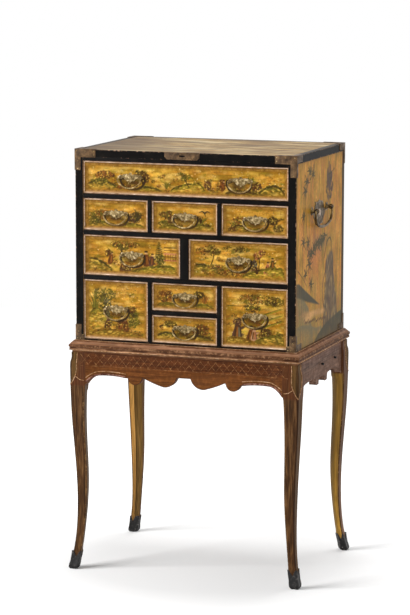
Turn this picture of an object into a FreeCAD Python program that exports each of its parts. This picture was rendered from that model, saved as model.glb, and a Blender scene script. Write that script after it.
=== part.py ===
import FreeCAD, Part
import math
import os

# Lacquer cabinet of ten drawers on a carved stand with four curved legs.
# Millimetres. The origin is on the floor under the middle, +Z is up and the front faces -Y.

# Overall sizes
cabinet_width = 700.0
cabinet_depth = 490.0
stand_height = 715.0

# Carcass boards
side_thickness = 25.0
top_thickness = 22.0
bottom_thickness = 18.0
back_thickness = 14.0

# Drawer rows from the lowest up, and what parts them
base_margin = 4.5
lower_row_height = 182.5
middle_row_height = 122.5
upper_row_height = 96.5
long_row_height = 99.0
rail_thickness = 14.0
partition_thickness = 13.0
middle_partition_thickness = 27.0
upper_rail_thickness = 12.0
upper_rail_depth = 60.0

# Drawers
drawer_reveal = 3.0
drawer_front_thickness = 20.0
drawer_front_gap = 0.8
drawer_side_gap = 1.0
drawer_floor_gap = 0.3
drawer_head_gap = 5.0
drawer_stop_gap = 0.5
drawer_wall = 9.0
drawer_back_wall = 8.0
drawer_bottom_thickness = 6.0
drawer_back_drop = 4.0

# Moulded frame round the sunk panel of a drawer front
lip_width = 3.5
cove_width = 9.0
panel_depth = 5.0

# Drawer handles
post_spacing = 62.0
post_standoff = 12.0
post_stem_radius = 2.4
post_head_radius = 4.6
post_head_thickness = 4.0
rosette_radius = 6.5
rosette_thickness = 1.5
bail_radius = 2.2
bail_drop = 33.0
bail_bend_radius = 3.2
bail_straight = 5.0
bail_shoulder_radius = 15.0
bail_end_setback = 0.4
pin_clearance = 0.08
tail_radius = 1.6
tail_clearance = 0.1
tail_length = 17.0
plate_thickness = 1.4
plate_disc_radius = 12.0
plate_lobe_radius = 8.0
plate_lobe_reach = 14.5
plate_crest_radius = 5.0
plate_crest_reach = 10.5
plate_drop_half_width = 9.0
plate_drop_length = 18.0
long_drawer_handle_spacing = 350.0
handle_lift = 4.0

# Side carrying handles
side_handle_height = 404.0
side_handle_setback = -20.0
side_post_spacing = 146.0
side_post_standoff = 16.0
side_post_stem_radius = 5.0
side_post_head_radius = 8.0
side_post_head_thickness = 9.0
side_rosette_radius = 13.0
side_rosette_thickness = 2.0
side_bail_radius = 4.2
side_bail_drop = 52.0
side_bail_bend_radius = 6.0
side_bail_straight = 6.0
side_bail_shoulder_radius = 32.0
side_tail_radius = 3.2
side_tail_length = 20.0
side_plate_thickness = 1.6
side_plate_half_width = 56.0
side_plate_half_height = 39.0
side_plate_drop = 12.0
side_boss_radius = 12.0
side_boss_height = 3.0

# Brass corner mounts and lock plate
mount_sheet = 1.6
mount_long_arm = 66.0
mount_upright = 63.0
mount_arm_height = 24.0
mount_upright_width = 18.0
mount_side_arm = 56.0
mount_side_upright_width = 13.0
mount_side_arm_height = 20.0
mount_top_strip = 14.0
foot_mount_arm = 28.0
foot_mount_upright = 48.0
foot_mount_arm_height = 17.0
lock_plate_width = 111.0
lock_plate_height = 22.0
lock_plate_chamfer = 8.0
lock_plate_offset = -7.0
lock_slot_width = 18.0
lock_slot_height = 5.0

# Moulding under the cabinet
moulding_height = 37.0
moulding_seat = 42.0
moulding_reach = 18.0
moulding_lip_height = 8.0
moulding_slope = 13.0
moulding_slope_start = 3.0
moulding_band_setback = 1.7
moulding_band_height = 10.0
moulding_cove_height = 2.5
moulding_bead_reach = 9.0
moulding_inner_height = 19.0

# Aprons
apron_face = 6.0
apron_thickness = 22.0
apron_depth = 94.0
tenon_length = 20.0
tenon_thickness = 8.0
tenon_height = 46.0
tenon_shoulder = 10.0

# Legs
block_reach = 12.0
leg_block = 48.0
toe_reach = 22.0
leg_arris = 3.0

# Sabots
sabot_thickness = 2.0
sabot_height = 58.0
sabot_notch = 28.0

# Half outline of the front apron's lower edge, from the middle to the leg.
# Each row is (arc middle u, arc middle v, end u, end v): u is a share of the
# half length, v a share of the apron's depth. The row without a middle is straight.
front_outline_start_shares = (0.0, 0.66)
front_outline_shares = (
    (None, None, 0.07, 0.66),
    (0.12, 0.91, 0.21, 0.99),
    (0.33, 0.86, 0.42, 0.73),
    (None, None, 0.427, 0.77),
    (0.50, 0.98, 0.573, 0.77),
    (None, None, 0.60, 0.775),
    (0.74, 0.73, 0.875, 0.745),
    (0.945, 0.85, 1.0, 1.05),
)
side_outline_start_shares = (0.0, 0.86)
side_outline_shares = (
    (None, None, 0.03, 0.86),
    (0.045, 0.93, 0.10, 0.955),
    (None, None, 0.37, 0.955),
    (0.43, 0.93, 0.45, 0.86),
    (None, None, 0.46, 0.77),
    (0.67, 0.74, 0.86, 0.77),
    (0.945, 0.86, 1.0, 1.03),
)

# Leg sections from the floor up. Each row holds shares of the leg's height, of
# the toe's reach, of the corner block's reach, of the block's side, and of the
# section's own side that is taken off its inner corner.
leg_station_shares = (
    (0.0, 1.0, 0.0, 0.57, 0.36),
    (0.037, 0.77, 0.0, 0.56, 0.40),
    (0.081, 0.48, 0.0, 0.53, 0.45),
    (0.143, 0.22, 0.0, 0.52, 0.50),
    (0.26, 0.02, 0.0, 0.59, 0.55),
    (0.413, 0.0, 0.12, 0.717, 0.55),
    (0.566, 0.0, 0.575, 0.79, 0.55),
    (0.72, 0.0, 1.075, 0.89, 0.50),
    (0.826, 0.0, 1.25, 0.98, 0.42),
    (0.885, 0.0, 1.30, 1.07, 0.36),
)
knee_station_shares = (
    leg_station_shares[-1],
    (0.94, 0.0, 1.33, 1.08, 0.34),
    (0.958, 0.0, 1.25, 1.05, 0.33),
    (0.972, 0.0, 1.0, 1.0, 0.33),
    (1.0, 0.0, 1.0, 1.0, 0.33),
)
sabot_station_shares = leg_station_shares[:4]

# What follows from the sizes above
half_width = cabinet_width / 2
half_depth = cabinet_depth / 2
front_plane = -half_depth
inner_half = half_width - side_thickness
row_heights = (lower_row_height, middle_row_height, upper_row_height, long_row_height)
rows_height = sum(row_heights) + rail_thickness * (len(row_heights) - 1)
cabinet_height = base_margin + rows_height + upper_rail_thickness + top_thickness
cabinet_bottom = stand_height
cabinet_top = stand_height + cabinet_height
back_plane = half_depth - back_thickness
leg_height = stand_height - moulding_height
sink = drawer_reveal + drawer_front_thickness
front_span = 2 * (half_width + block_reach - leg_block)
side_span = 2 * (half_depth + block_reach - leg_block)


def vec(x, y, z):
    return FreeCAD.Vector(x, y, z)


def block(x0, x1, y0, y1, z0, z1):
    """A board between two opposite corners."""
    return Part.makeBox(x1 - x0, y1 - y0, z1 - z0, vec(x0, y0, z0))


def fused(shapes):
    """One solid made of overlapping or touching shapes."""
    whole = shapes[0]
    for shape in shapes[1:]:
        whole = whole.fuse(shape)
    return whole.removeSplitter()


def export(name, solids):
    """Write one node: a single solid, or a group of separate ones."""
    shape = solids[0] if len(solids) == 1 else Part.makeCompound(solids)
    shape.exportStep("parts/" + name + ".step")
    print(name, len(solids), "solids", round(sum(solid.Volume for solid in solids)), "mm3")


def turned(shape, angle):
    """A copy turned about the vertical axis through the origin, by an angle in degrees."""
    copy = shape.copy()
    copy.rotate(vec(0, 0, 0), vec(0, 0, 1), angle)
    return copy


def moved(shape, x, y, z):
    """A copy shifted by x, y and z."""
    copy = shape.copy()
    copy.translate(vec(x, y, z))
    return copy


# The stand's moulding: one profile, mitred round the four corners
def moulding_profile():
    """Offsets from the cabinet's faces and heights, anticlockwise from the seat."""
    lip_top = stand_height - moulding_slope
    lip_bottom = lip_top - moulding_lip_height
    band_reach = moulding_reach - moulding_band_setback
    band_bottom = lip_bottom - moulding_band_height
    floor = stand_height - moulding_height
    return (
        (-moulding_seat, stand_height),
        (moulding_slope_start, stand_height),
        (moulding_reach, lip_top),
        (moulding_reach, lip_bottom),
        (band_reach, lip_bottom),
        (band_reach, band_bottom),
        (moulding_bead_reach, band_bottom - moulding_cove_height),
        (moulding_bead_reach, floor),
        (apron_face - apron_thickness, floor),
        (-moulding_seat, stand_height - moulding_inner_height),
    )


def mitred_length(profile, start, end):
    """A length of moulding between two corners, given as signs of x and y."""
    wires = []
    for sign_x, sign_y in (start, end):
        points = [vec(sign_x * (half_width + out), sign_y * (half_depth + out), z) for out, z in profile]
        wires.append(Part.makePolygon(points + points[:1]))
    return Part.makeLoft(wires, True, True)


def stand_moulding():
    corners = ((-1, -1), (1, -1), (1, 1), (-1, 1))
    profile = moulding_profile()
    return [mitred_length(profile, corners[i], corners[(i + 1) % len(corners)]) for i in range(len(corners))]


# Legs: the outer corner stands at a reach beyond the cabinet's corner
def leg_section(height, reach, side, chamfer):
    """A square section with a blunt outer arris and a cut inner corner."""
    x0 = half_width + reach
    y0 = half_depth + reach
    points = [
        vec(x0 - leg_arris, y0, height),
        vec(x0 - side, y0, height),
        vec(x0 - side, y0 - side + chamfer, height),
        vec(x0 - side + chamfer, y0 - side, height),
        vec(x0, y0 - side, height),
        vec(x0, y0 - leg_arris, height),
    ]
    return Part.makePolygon(points + points[:1])


def leg_loft(stations, ruled, extra=0):
    wires = []
    for height_share, toe_share, block_share, side_share, chamfer_share in stations:
        side = leg_block * side_share
        reach = toe_reach * toe_share + block_reach * block_share + extra
        wires.append(leg_section(leg_height * height_share, reach, side + 2 * extra, side * chamfer_share))
    return Part.makeLoft(wires, True, ruled)


def tenon(span, length_axis_sign):
    """A tenon of an apron that runs along X, before the apron is turned to its side."""
    top = leg_height - tenon_shoulder
    middle = apron_thickness / 2
    start = span / 2
    x0, x1 = sorted((length_axis_sign * start, length_axis_sign * (start + tenon_length)))
    return block(x0, x1, middle - tenon_thickness / 2, middle + tenon_thickness / 2, top - tenon_height, top)


def apron_board(span, start_shares, outline_shares):
    """An apron along X with its outer face at y = 0 and its top under the moulding."""
    half = span / 2

    def place(u, v):
        return vec(half * u, 0, leg_height - apron_depth * v)

    edges = [Part.LineSegment(place(0, 0), place(*start_shares)).toShape()]
    here = place(*start_shares)
    for middle_u, middle_v, end_u, end_v in outline_shares:
        end = place(end_u, end_v)
        if middle_u is None:
            edges.append(Part.LineSegment(here, end).toShape())
        else:
            edges.append(Part.Arc(here, place(middle_u, middle_v), end).toShape())
        here = end
    edges.append(Part.LineSegment(here, place(1, 0)).toShape())
    edges.append(Part.LineSegment(place(1, 0), place(0, 0)).toShape())
    half_board = Part.Face(Part.Wire(edges)).extrude(vec(0, apron_thickness, 0))
    other_half = half_board.mirror(vec(0, 0, 0), vec(1, 0, 0))
    return fused([half_board, other_half, tenon(span, 1), tenon(span, -1)])


def stand_pieces():
    """Aprons, legs and sabots, by node name."""
    front = moved(apron_board(front_span, front_outline_start_shares, front_outline_shares),
                  0, front_plane - apron_face, 0)
    side_board = apron_board(side_span, side_outline_start_shares, side_outline_shares)
    side_place = moved(side_board, 0, -half_width - apron_face, 0)
    aprons = {
        "front_apron": [front],
        "rear_apron": [turned(front, 180)],
        "side_aprons": [turned(side_place, 90), turned(side_place, -90)],
    }
    mortises = aprons["front_apron"] + aprons["rear_apron"] + aprons["side_aprons"]
    rough_leg = fused([leg_loft(leg_station_shares, False), leg_loft(knee_station_shares, True)])
    foot = leg_loft(sabot_station_shares, False, sabot_thickness)
    shoe = sabot(foot, rough_leg)
    names = {(1, 1): "rear_right_leg", (-1, 1): "rear_left_leg", (-1, -1): "front_left_leg",
             (1, -1): "front_right_leg"}
    legs = {}
    shoes = []
    for (sign_x, sign_y), name in names.items():
        leg = at_corner(rough_leg, sign_x, sign_y)
        for mortise in mortises:
            leg = leg.cut(mortise)
        legs[name] = leg.Solids
        shoes.append(at_corner(shoe, sign_x, sign_y))
    return aprons, legs, shoes


def at_corner(shape, sign_x, sign_y):
    """The rear right corner's piece, mirrored to another corner."""
    if sign_x < 0:
        shape = shape.mirror(vec(0, 0, 0), vec(1, 0, 0))
    if sign_y < 0:
        shape = shape.mirror(vec(0, 0, 0), vec(0, 1, 0))
    return shape


def sabot(foot, leg):
    """A shoe round the foot whose top runs up to a point on each arris."""
    _, toe_share, _, side_share, _ = sabot_station_shares[2]
    side = leg_block * side_share
    middle_x = half_width + toe_reach * toe_share - side / 2
    middle_y = half_depth + toe_reach * toe_share - side / 2
    reach = toe_reach + sabot_thickness + leg_block
    trimmed = foot.common(block(middle_x - reach, middle_x + reach, middle_y - reach, middle_y + reach,
                                0, sabot_height))
    half_notch = side / 2 + sabot_thickness
    notch_bottom = sabot_height - sabot_notch
    across_x = [vec(middle_x - half_notch, middle_y - reach, sabot_height),
                vec(middle_x, middle_y - reach, notch_bottom),
                vec(middle_x + half_notch, middle_y - reach, sabot_height)]
    across_y = [vec(middle_x - reach, middle_y - half_notch, sabot_height),
                vec(middle_x - reach, middle_y, notch_bottom),
                vec(middle_x - reach, middle_y + half_notch, sabot_height)]
    notch_x = Part.Face(Part.makePolygon(across_x + across_x[:1])).extrude(vec(0, 2 * reach, 0))
    notch_y = Part.Face(Part.makePolygon(across_y + across_y[:1])).extrude(vec(2 * reach, 0, 0))
    return trimmed.cut(leg).cut(notch_x).cut(notch_y).Solids[0]


# Carcass
def carcass_pieces():
    under_top = cabinet_top - top_thickness
    side = block(inner_half, half_width, front_plane, half_depth, cabinet_bottom, under_top)
    sill = block(-inner_half, inner_half, front_plane, front_plane + sink, cabinet_bottom,
                 cabinet_bottom + base_margin)
    floor = block(-inner_half, inner_half, front_plane + sink, back_plane, cabinet_bottom,
                  cabinet_bottom + bottom_thickness)
    return {
        "carcass_top": [block(-half_width, half_width, front_plane, half_depth, under_top, cabinet_top)],
        "carcass_bottom": [fused([sill, floor])],
        "carcass_left_side": [turned(side, 180)],
        "carcass_right_side": [side],
        "carcass_back": [block(-inner_half, inner_half, back_plane, half_depth, cabinet_bottom, under_top)],
    }


def row_bottoms():
    """The height of each row's opening, from the lowest row up."""
    bottoms = []
    z = cabinet_bottom + base_margin
    for height in row_heights:
        bottoms.append(z)
        z += height + rail_thickness
    return bottoms


def columns(parts, parting):
    """The left and right edges of equal openings across a row."""
    width = (2 * inner_half - parting * (parts - 1)) / parts
    return [(-inner_half + i * (width + parting), -inner_half + i * (width + parting) + width)
            for i in range(parts)]


def small_rail_level():
    """The underside of the short rail between the two small drawers."""
    low = row_bottoms()[0]
    return low + (lower_row_height - rail_thickness) / 2


def drawer_openings():
    """Name, opening in x and z, and the surface that carries the drawer."""
    low, middle, upper, long_row = row_bottoms()
    left, centre, right = columns(3, partition_thickness)
    pair_left, pair_right = columns(2, middle_partition_thickness)
    floor = cabinet_bottom + bottom_thickness
    short_rail = small_rail_level()
    rows = [
        ("long_drawer", (-inner_half, inner_half), long_row, long_row + long_row_height, long_row),
        ("middle_left_drawer", pair_left, middle, middle + middle_row_height, middle),
        ("middle_right_drawer", pair_right, middle, middle + middle_row_height, middle),
        ("lower_left_drawer", left, low, low + lower_row_height, floor),
        ("lower_right_drawer", right, low, low + lower_row_height, floor),
        ("small_lower_drawer", centre, low, short_rail, floor),
        ("small_upper_drawer", centre, short_rail + rail_thickness, low + lower_row_height,
         short_rail + rail_thickness),
    ]
    names = ("upper_left_drawer", "upper_middle_drawer", "upper_right_drawer")
    for name, column in zip(names, (left, centre, right)):
        rows.append((name, column, upper, upper + upper_row_height, upper))
    return rows


def drawer_dividers():
    """Rails between the rows, partitions in the rows, and the rail under the top."""
    low, middle, upper, long_row = row_bottoms()
    solids = []
    for row_above in (middle, upper, long_row):
        solids.append(block(-inner_half, inner_half, front_plane, back_plane, row_above - rail_thickness,
                            row_above))
    left, centre, right = columns(3, partition_thickness)
    for bottom, height in ((low, lower_row_height), (upper, upper_row_height)):
        foot = max(bottom, cabinet_bottom + bottom_thickness)
        for x0, x1 in ((left[1], centre[0]), (centre[1], right[0])):
            upright = block(x0, x1, front_plane + sink, back_plane, foot, bottom + height)
            face = block(x0, x1, front_plane, front_plane + sink, bottom, bottom + height)
            solids.append(fused([upright, face]))
    pair_left, pair_right = columns(2, middle_partition_thickness)
    solids.append(block(pair_left[1], pair_right[0], front_plane, back_plane, middle,
                        middle + middle_row_height))
    short_rail = small_rail_level()
    solids.append(block(centre[0], centre[1], front_plane, back_plane, short_rail,
                        short_rail + rail_thickness))
    under_top = cabinet_top - top_thickness
    solids.append(block(-inner_half, inner_half, front_plane, front_plane + upper_rail_depth,
                        under_top - upper_rail_thickness, under_top))
    return solids


# Drawers
def drawer_front(x0, x1, z0, z1):
    """A front board with a cove round its sunk panel and holes for the handle's tails."""
    y0 = front_plane + drawer_reveal
    board = block(x0, x1, y0, y0 + drawer_front_thickness, z0, z1)
    wires = []
    for inset, depth in ((lip_width, 0), (lip_width + cove_width, panel_depth)):
        corners = [vec(x0 + inset, y0 + depth, z0 + inset), vec(x1 - inset, y0 + depth, z0 + inset),
                   vec(x1 - inset, y0 + depth, z1 - inset), vec(x0 + inset, y0 + depth, z1 - inset)]
        wires.append(Part.makePolygon(corners + corners[:1]))
    return board.cut(Part.makeLoft(wires, True, True))


def drawer_box(x0, x1, y0, y1, z0, z1):
    """Two sides, a back and a bottom as separate boards."""
    inner_left = x0 + drawer_wall
    inner_right = x1 - drawer_wall
    bottom_top = z0 + drawer_bottom_thickness
    back_start = y1 - drawer_back_wall
    return [
        block(x0, inner_left, y0, y1, z0, z1),
        block(inner_right, x1, y0, y1, z0, z1),
        block(inner_left, inner_right, back_start, y1, z0, z1 - drawer_back_drop),
        block(inner_left, inner_right, y0, back_start, z0, bottom_top),
    ]


def handle_places(name, x0, x1, z0, z1):
    """Where the pivots' middle stands on a drawer front."""
    z = (z0 + z1) / 2 + handle_lift
    x = (x0 + x1) / 2
    if name == "long_drawer":
        return [(x - long_drawer_handle_spacing / 2, z), (x + long_drawer_handle_spacing / 2, z)]
    return [(x, z)]


def eye_post(standoff, stem, head, head_thickness, rosette, rosette_t, tail, tail_len, pin):
    """A post that stands along -Y from the origin, with an eye for a bail that pivots on X."""
    stand = Part.makeCylinder(stem, standoff, vec(0, 0, 0), vec(0, -1, 0))
    knob = Part.makeCylinder(head, head_thickness, vec(-head_thickness / 2, -standoff, 0), vec(1, 0, 0))
    collar = Part.makeCylinder(rosette, rosette_t, vec(0, 0, 0), vec(0, -1, 0))
    shank = Part.makeCylinder(tail, tail_len, vec(0, 0, 0), vec(0, 1, 0))
    hole = Part.makeCylinder(pin + pin_clearance, 2 * head, vec(-head, -standoff, 0), vec(1, 0, 0))
    return fused([stand, knob, collar, shank]).cut(hole)


def drawer_post():
    return eye_post(post_standoff, post_stem_radius, post_head_radius, post_head_thickness, rosette_radius,
                    rosette_thickness, tail_radius, tail_length, bail_radius)


def drawer_plate():
    """A lobed plate between the posts, its back on y = 0."""
    forward = vec(0, -1, 0)
    discs = [Part.makeCylinder(plate_disc_radius, plate_thickness, vec(0, 0, 0), forward)]
    for sign in (-1, 1):
        discs.append(Part.makeCylinder(plate_lobe_radius, plate_thickness, vec(sign * plate_lobe_reach, 0, 0),
                                       forward))
    discs.append(Part.makeCylinder(plate_crest_radius, plate_thickness, vec(0, 0, plate_crest_reach),
                                   forward))
    drop = [vec(-plate_drop_half_width, 0, 0), vec(0, 0, -plate_drop_length),
            vec(plate_drop_half_width, 0, 0)]
    discs.append(Part.Face(Part.makePolygon(drop + drop[:1])).extrude(vec(0, -plate_thickness, 0)))
    return fused(discs)


def bail(spacing, head_thickness, radius, drop, bend, straight, shoulder):
    """A hanging bail in the XZ plane whose ends turn inwards through the eyes at z = 0."""
    half = spacing / 2 + head_thickness / 2 + bend
    end = spacing / 2 - head_thickness / 2 + bail_end_setback
    turn = math.sin(math.radians(45)) * bend
    arc_top = -bend - straight
    # The bottom arc is tangent to both shoulder arcs and reaches down to the drop.
    centre_x = half - shoulder
    rise = drop + arc_top
    sweep = (centre_x ** 2 + rise ** 2 - shoulder ** 2) / (2 * (rise - shoulder))
    centre_z = sweep - drop
    span = math.hypot(centre_x, centre_z - arc_top)
    touch = vec(centre_x * sweep / span, 0, centre_z + (arc_top - centre_z) * sweep / span)
    angle = math.atan2(touch.z - arc_top, touch.x - centre_x) / 2
    shoulder_mid = vec(centre_x + shoulder * math.cos(angle), 0, arc_top + shoulder * math.sin(angle))

    def side(sign):
        start = vec(sign * end, 0, 0)
        bend_start = vec(sign * (half - bend), 0, 0)
        bend_mid = vec(sign * (half - bend + turn), 0, -bend + turn)
        bend_end = vec(sign * half, 0, -bend)
        arm_end = vec(sign * half, 0, arc_top)
        low = vec(sign * touch.x, 0, touch.z)
        middle = vec(sign * shoulder_mid.x, 0, shoulder_mid.z)
        return [Part.LineSegment(start, bend_start).toShape(),
                Part.Arc(bend_start, bend_mid, bend_end).toShape(),
                Part.LineSegment(bend_end, arm_end).toShape(),
                Part.Arc(arm_end, middle, low).toShape()], low

    right, right_low = side(1)
    left, left_low = side(-1)
    bottom = Part.Arc(right_low, vec(0, 0, -drop), left_low).toShape()
    path = Part.Wire(Part.__sortEdges__(right + [bottom] + left))
    ring = Part.Wire(Part.makeCircle(radius, vec(end, 0, 0), vec(1, 0, 0)))
    return path.makePipeShell([ring], True, False)


def drawer_bail():
    return bail(post_spacing, post_head_thickness, bail_radius, bail_drop, bail_bend_radius, bail_straight,
                bail_shoulder_radius)


def drawer_pieces():
    """Every drawer's nodes by name."""
    post = drawer_post()
    plate = drawer_plate()
    loop = drawer_bail()
    panel = front_plane + drawer_reveal + panel_depth
    box_front = front_plane + sink
    box_back = back_plane - drawer_stop_gap
    pieces = {}
    for name, (x0, x1), z0, z1, carrier in drawer_openings():
        front = drawer_front(x0 + drawer_front_gap, x1 - drawer_front_gap, z0 + drawer_front_gap,
                             z1 - drawer_front_gap)
        mounts = []
        places = handle_places(name, x0, x1, z0, z1)
        for x, z in places:
            for sign in (-1, 1):
                post_x = x + sign * post_spacing / 2
                front = front.cut(Part.makeCylinder(tail_radius + tail_clearance,
                                                    drawer_front_thickness, vec(post_x, panel, z),
                                                    vec(0, 1, 0)))
                mounts.append(moved(post, post_x, panel, z))
            mounts.append(moved(plate, x, panel, z))
        pieces[name + "_front"] = front.Solids
        pieces[name + "_box"] = drawer_box(x0 + drawer_side_gap, x1 - drawer_side_gap, box_front, box_back,
                                           carrier + drawer_floor_gap, z1 - drawer_head_gap)
        pieces[name + "_handle_mounts"] = mounts
        labels = ("_left_bail", "_right_bail") if len(places) == 2 else ("_bail",)
        for label, (x, z) in zip(labels, places):
            pieces[name + label] = [moved(loop, x, panel - post_standoff, z)]
    return pieces


# Side carrying handles, made facing -Y and turned to their sides
def side_plate():
    """An oval plate with a raised boss, its back on y = 0."""
    oval = Part.Ellipse(vec(0, 0, 0), side_plate_half_width, side_plate_half_height)
    disc = Part.Face(Part.Wire(oval.toShape()))
    disc.rotate(vec(0, 0, 0), vec(1, 0, 0), 90)
    plate = moved(disc.extrude(vec(0, -side_plate_thickness, 0)), 0, 0, -side_plate_drop)
    boss = Part.makeCylinder(side_boss_radius, side_plate_thickness + side_boss_height,
                             vec(0, 0, -side_plate_drop), vec(0, -1, 0))
    return fused([plate, boss])


def side_handle_pieces():
    post = eye_post(side_post_standoff, side_post_stem_radius, side_post_head_radius,
                    side_post_head_thickness, side_rosette_radius, side_rosette_thickness,
                    side_tail_radius, side_tail_length, side_bail_radius)
    loop = bail(side_post_spacing, side_post_head_thickness, side_bail_radius, side_bail_drop,
                side_bail_bend_radius, side_bail_straight, side_bail_shoulder_radius)
    z = cabinet_bottom + side_handle_height
    mounts = []
    bails = {}
    for name, sign in (("right_side_bail", 1), ("left_side_bail", -1)):
        # Turning by a quarter takes local x to the cabinet's depth.
        middle = sign * side_handle_setback
        for post_sign in (-1, 1):
            place = moved(post, middle + post_sign * side_post_spacing / 2, -half_width, z)
            mounts.append(turned(place, sign * 90))
        mounts.append(turned(moved(side_plate(), middle, -half_width, z), sign * 90))
        bails[name] = [turned(moved(loop, middle, -half_width - side_post_standoff, z), sign * 90)]
    return mounts, bails


def with_tail_holes(side, sign):
    """Bore a carcass side for the tails of its carrying handle."""
    z = cabinet_bottom + side_handle_height
    for post_sign in (-1, 1):
        y = side_handle_setback + post_sign * side_post_spacing / 2
        start = vec(sign * half_width, y, z)
        hole = Part.makeCylinder(side_tail_radius + tail_clearance, side_tail_length + tail_clearance,
                                 start, vec(-sign, 0, 0))
        side = side.cut(hole)
    return side


# Brass mounts, bent from sheet round the cabinet's corners
def corner_mount(upper, front):
    """A mount at the right-hand end of the front or the back, as one bent sheet."""
    long_arm = mount_long_arm if upper else foot_mount_arm
    upright = mount_upright if upper else foot_mount_upright
    arm_height = mount_arm_height if upper else foot_mount_arm_height
    outer = half_width + mount_sheet
    face = front_plane - mount_sheet
    edge = cabinet_top if upper else cabinet_bottom
    direction = -1 if upper else 1

    def rise(size):
        return sorted((edge, edge + direction * size))

    arm_z = rise(arm_height)
    upright_z = rise(upright)
    side_arm_z = rise(mount_side_arm_height)
    pieces = [
        block(half_width - long_arm, outer, face, front_plane, *arm_z),
        block(half_width - mount_upright_width, outer, face, front_plane, *upright_z),
        block(half_width, outer, face, front_plane + mount_side_upright_width, *upright_z),
        block(half_width, outer, face, front_plane + mount_side_arm, *side_arm_z),
    ]
    if upper:
        lid = cabinet_top + mount_sheet
        strip = mount_top_strip
        side_end = front_plane + mount_side_arm
        pieces.append(block(half_width - long_arm, outer, face, front_plane + strip, cabinet_top, lid))
        pieces.append(block(half_width - strip, outer, face, side_end, cabinet_top, lid))
    whole = fused(pieces)
    if not front:
        whole = whole.mirror(vec(0, 0, 0), vec(0, 1, 0))
    return whole


def lock_plate():
    """A plate with cut lower corners on the top board's front edge."""
    half = lock_plate_width / 2
    cut = lock_plate_chamfer
    low = cabinet_top - lock_plate_height
    y = front_plane
    points = [vec(-half, y, cabinet_top), vec(-half, y, low + cut), vec(-half + cut, y, low),
              vec(half - cut, y, low), vec(half, y, low + cut), vec(half, y, cabinet_top)]
    sheet = Part.Face(Part.makePolygon(points + points[:1])).extrude(vec(0, -mount_sheet, 0))
    slot_middle = cabinet_top - lock_plate_height / 2
    slot = block(-lock_slot_width / 2, lock_slot_width / 2, y - mount_sheet, y,
                 slot_middle - lock_slot_height / 2, slot_middle + lock_slot_height / 2)
    return moved(sheet.cut(slot), lock_plate_offset, 0, 0)


def brass_mounts():
    solids = []
    for upper in (True, False):
        for front in (True, False):
            right = corner_mount(upper, front)
            solids.append(right)
            solids.append(right.mirror(vec(0, 0, 0), vec(1, 0, 0)))
    solids.append(lock_plate())
    return solids


def main():
    os.makedirs("parts", exist_ok=True)
    nodes = {"stand_moulding": stand_moulding()}
    aprons, legs, shoes = stand_pieces()
    nodes.update(aprons)
    nodes.update(legs)
    nodes["sabots"] = shoes
    nodes.update(carcass_pieces())
    nodes["carcass_left_side"] = [with_tail_holes(nodes["carcass_left_side"][0], -1)]
    nodes["carcass_right_side"] = [with_tail_holes(nodes["carcass_right_side"][0], 1)]
    nodes["drawer_dividers"] = drawer_dividers()
    nodes["brass_mounts"] = brass_mounts()
    mounts, bails = side_handle_pieces()
    nodes["side_handle_mounts"] = mounts
    nodes.update(bails)
    nodes.update(drawer_pieces())
    for name, solids in nodes.items():
        export(name, solids)
    print(len(nodes), "nodes")


main()
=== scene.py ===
# %% [markdown]
# A lacquer cabinet of ten drawers on a carved stand.
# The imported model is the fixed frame: every piece here takes its place from it. Lengths are
# written in millimetres and turned to metres once, when a mesh is made.
# %% Load the frame
import random
from math import atan, atan2, cos, exp, hypot, pi, radians, sin, sqrt

import bmesh
import bpy
import numpy as np
from mathutils import Matrix, Vector


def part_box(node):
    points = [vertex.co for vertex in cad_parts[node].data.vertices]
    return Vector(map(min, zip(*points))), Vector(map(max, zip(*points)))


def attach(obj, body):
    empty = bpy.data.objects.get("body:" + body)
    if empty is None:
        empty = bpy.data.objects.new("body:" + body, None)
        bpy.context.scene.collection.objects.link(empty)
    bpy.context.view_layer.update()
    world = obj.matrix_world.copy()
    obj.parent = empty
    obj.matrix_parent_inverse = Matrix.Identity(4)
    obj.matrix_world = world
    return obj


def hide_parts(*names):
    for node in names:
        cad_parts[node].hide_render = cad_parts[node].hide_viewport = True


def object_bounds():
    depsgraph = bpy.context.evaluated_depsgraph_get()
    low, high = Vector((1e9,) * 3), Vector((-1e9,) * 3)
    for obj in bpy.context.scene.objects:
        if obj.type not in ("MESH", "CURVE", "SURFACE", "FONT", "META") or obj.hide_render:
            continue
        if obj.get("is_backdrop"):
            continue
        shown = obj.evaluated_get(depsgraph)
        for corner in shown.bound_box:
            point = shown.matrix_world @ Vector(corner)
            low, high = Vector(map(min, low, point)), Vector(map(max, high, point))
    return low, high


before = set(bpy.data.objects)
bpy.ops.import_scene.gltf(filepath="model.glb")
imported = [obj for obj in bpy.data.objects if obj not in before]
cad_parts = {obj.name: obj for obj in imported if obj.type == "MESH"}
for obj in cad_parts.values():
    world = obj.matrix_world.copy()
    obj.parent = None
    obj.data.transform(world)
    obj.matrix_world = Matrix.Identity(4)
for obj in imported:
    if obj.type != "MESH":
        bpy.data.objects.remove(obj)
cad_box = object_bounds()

MM = 0.001
ROOT = "cabinet"


def box_mm(node):
    """The lowest and highest corners of a node, in millimetres."""
    low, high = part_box(node)
    return np.array(low) / MM, np.array(high) / MM


drawers = sorted(name[:-len("_front")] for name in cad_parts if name.endswith("_front"))
HALF_WIDTH, HALF_DEPTH, TOP = box_mm("carcass_top")[1]
BOTTOM = box_mm("carcass_right_side")[0][2]
FRONT = -HALF_DEPTH
print("drawers:", len(drawers), "cabinet from", round(BOTTOM), "to", round(TOP), "mm above the floor")

# %% [markdown]
# The photograph was taken with a long lens from the front right, a little above the top.
# The camera's place and turn were worked out from the cabinet's corners in the picture, so the
# edges of the render fall on the same pixels.
# %% Camera
CAMERA_PLACE = Vector((2.5816, -7.2639, 1.9817))
CAMERA_YAW = 0.3441
CAMERA_PITCH = 0.1526
CAMERA_ROLL = 0.0013
CAMERA_FOCAL_LENGTH = 147.95

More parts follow.
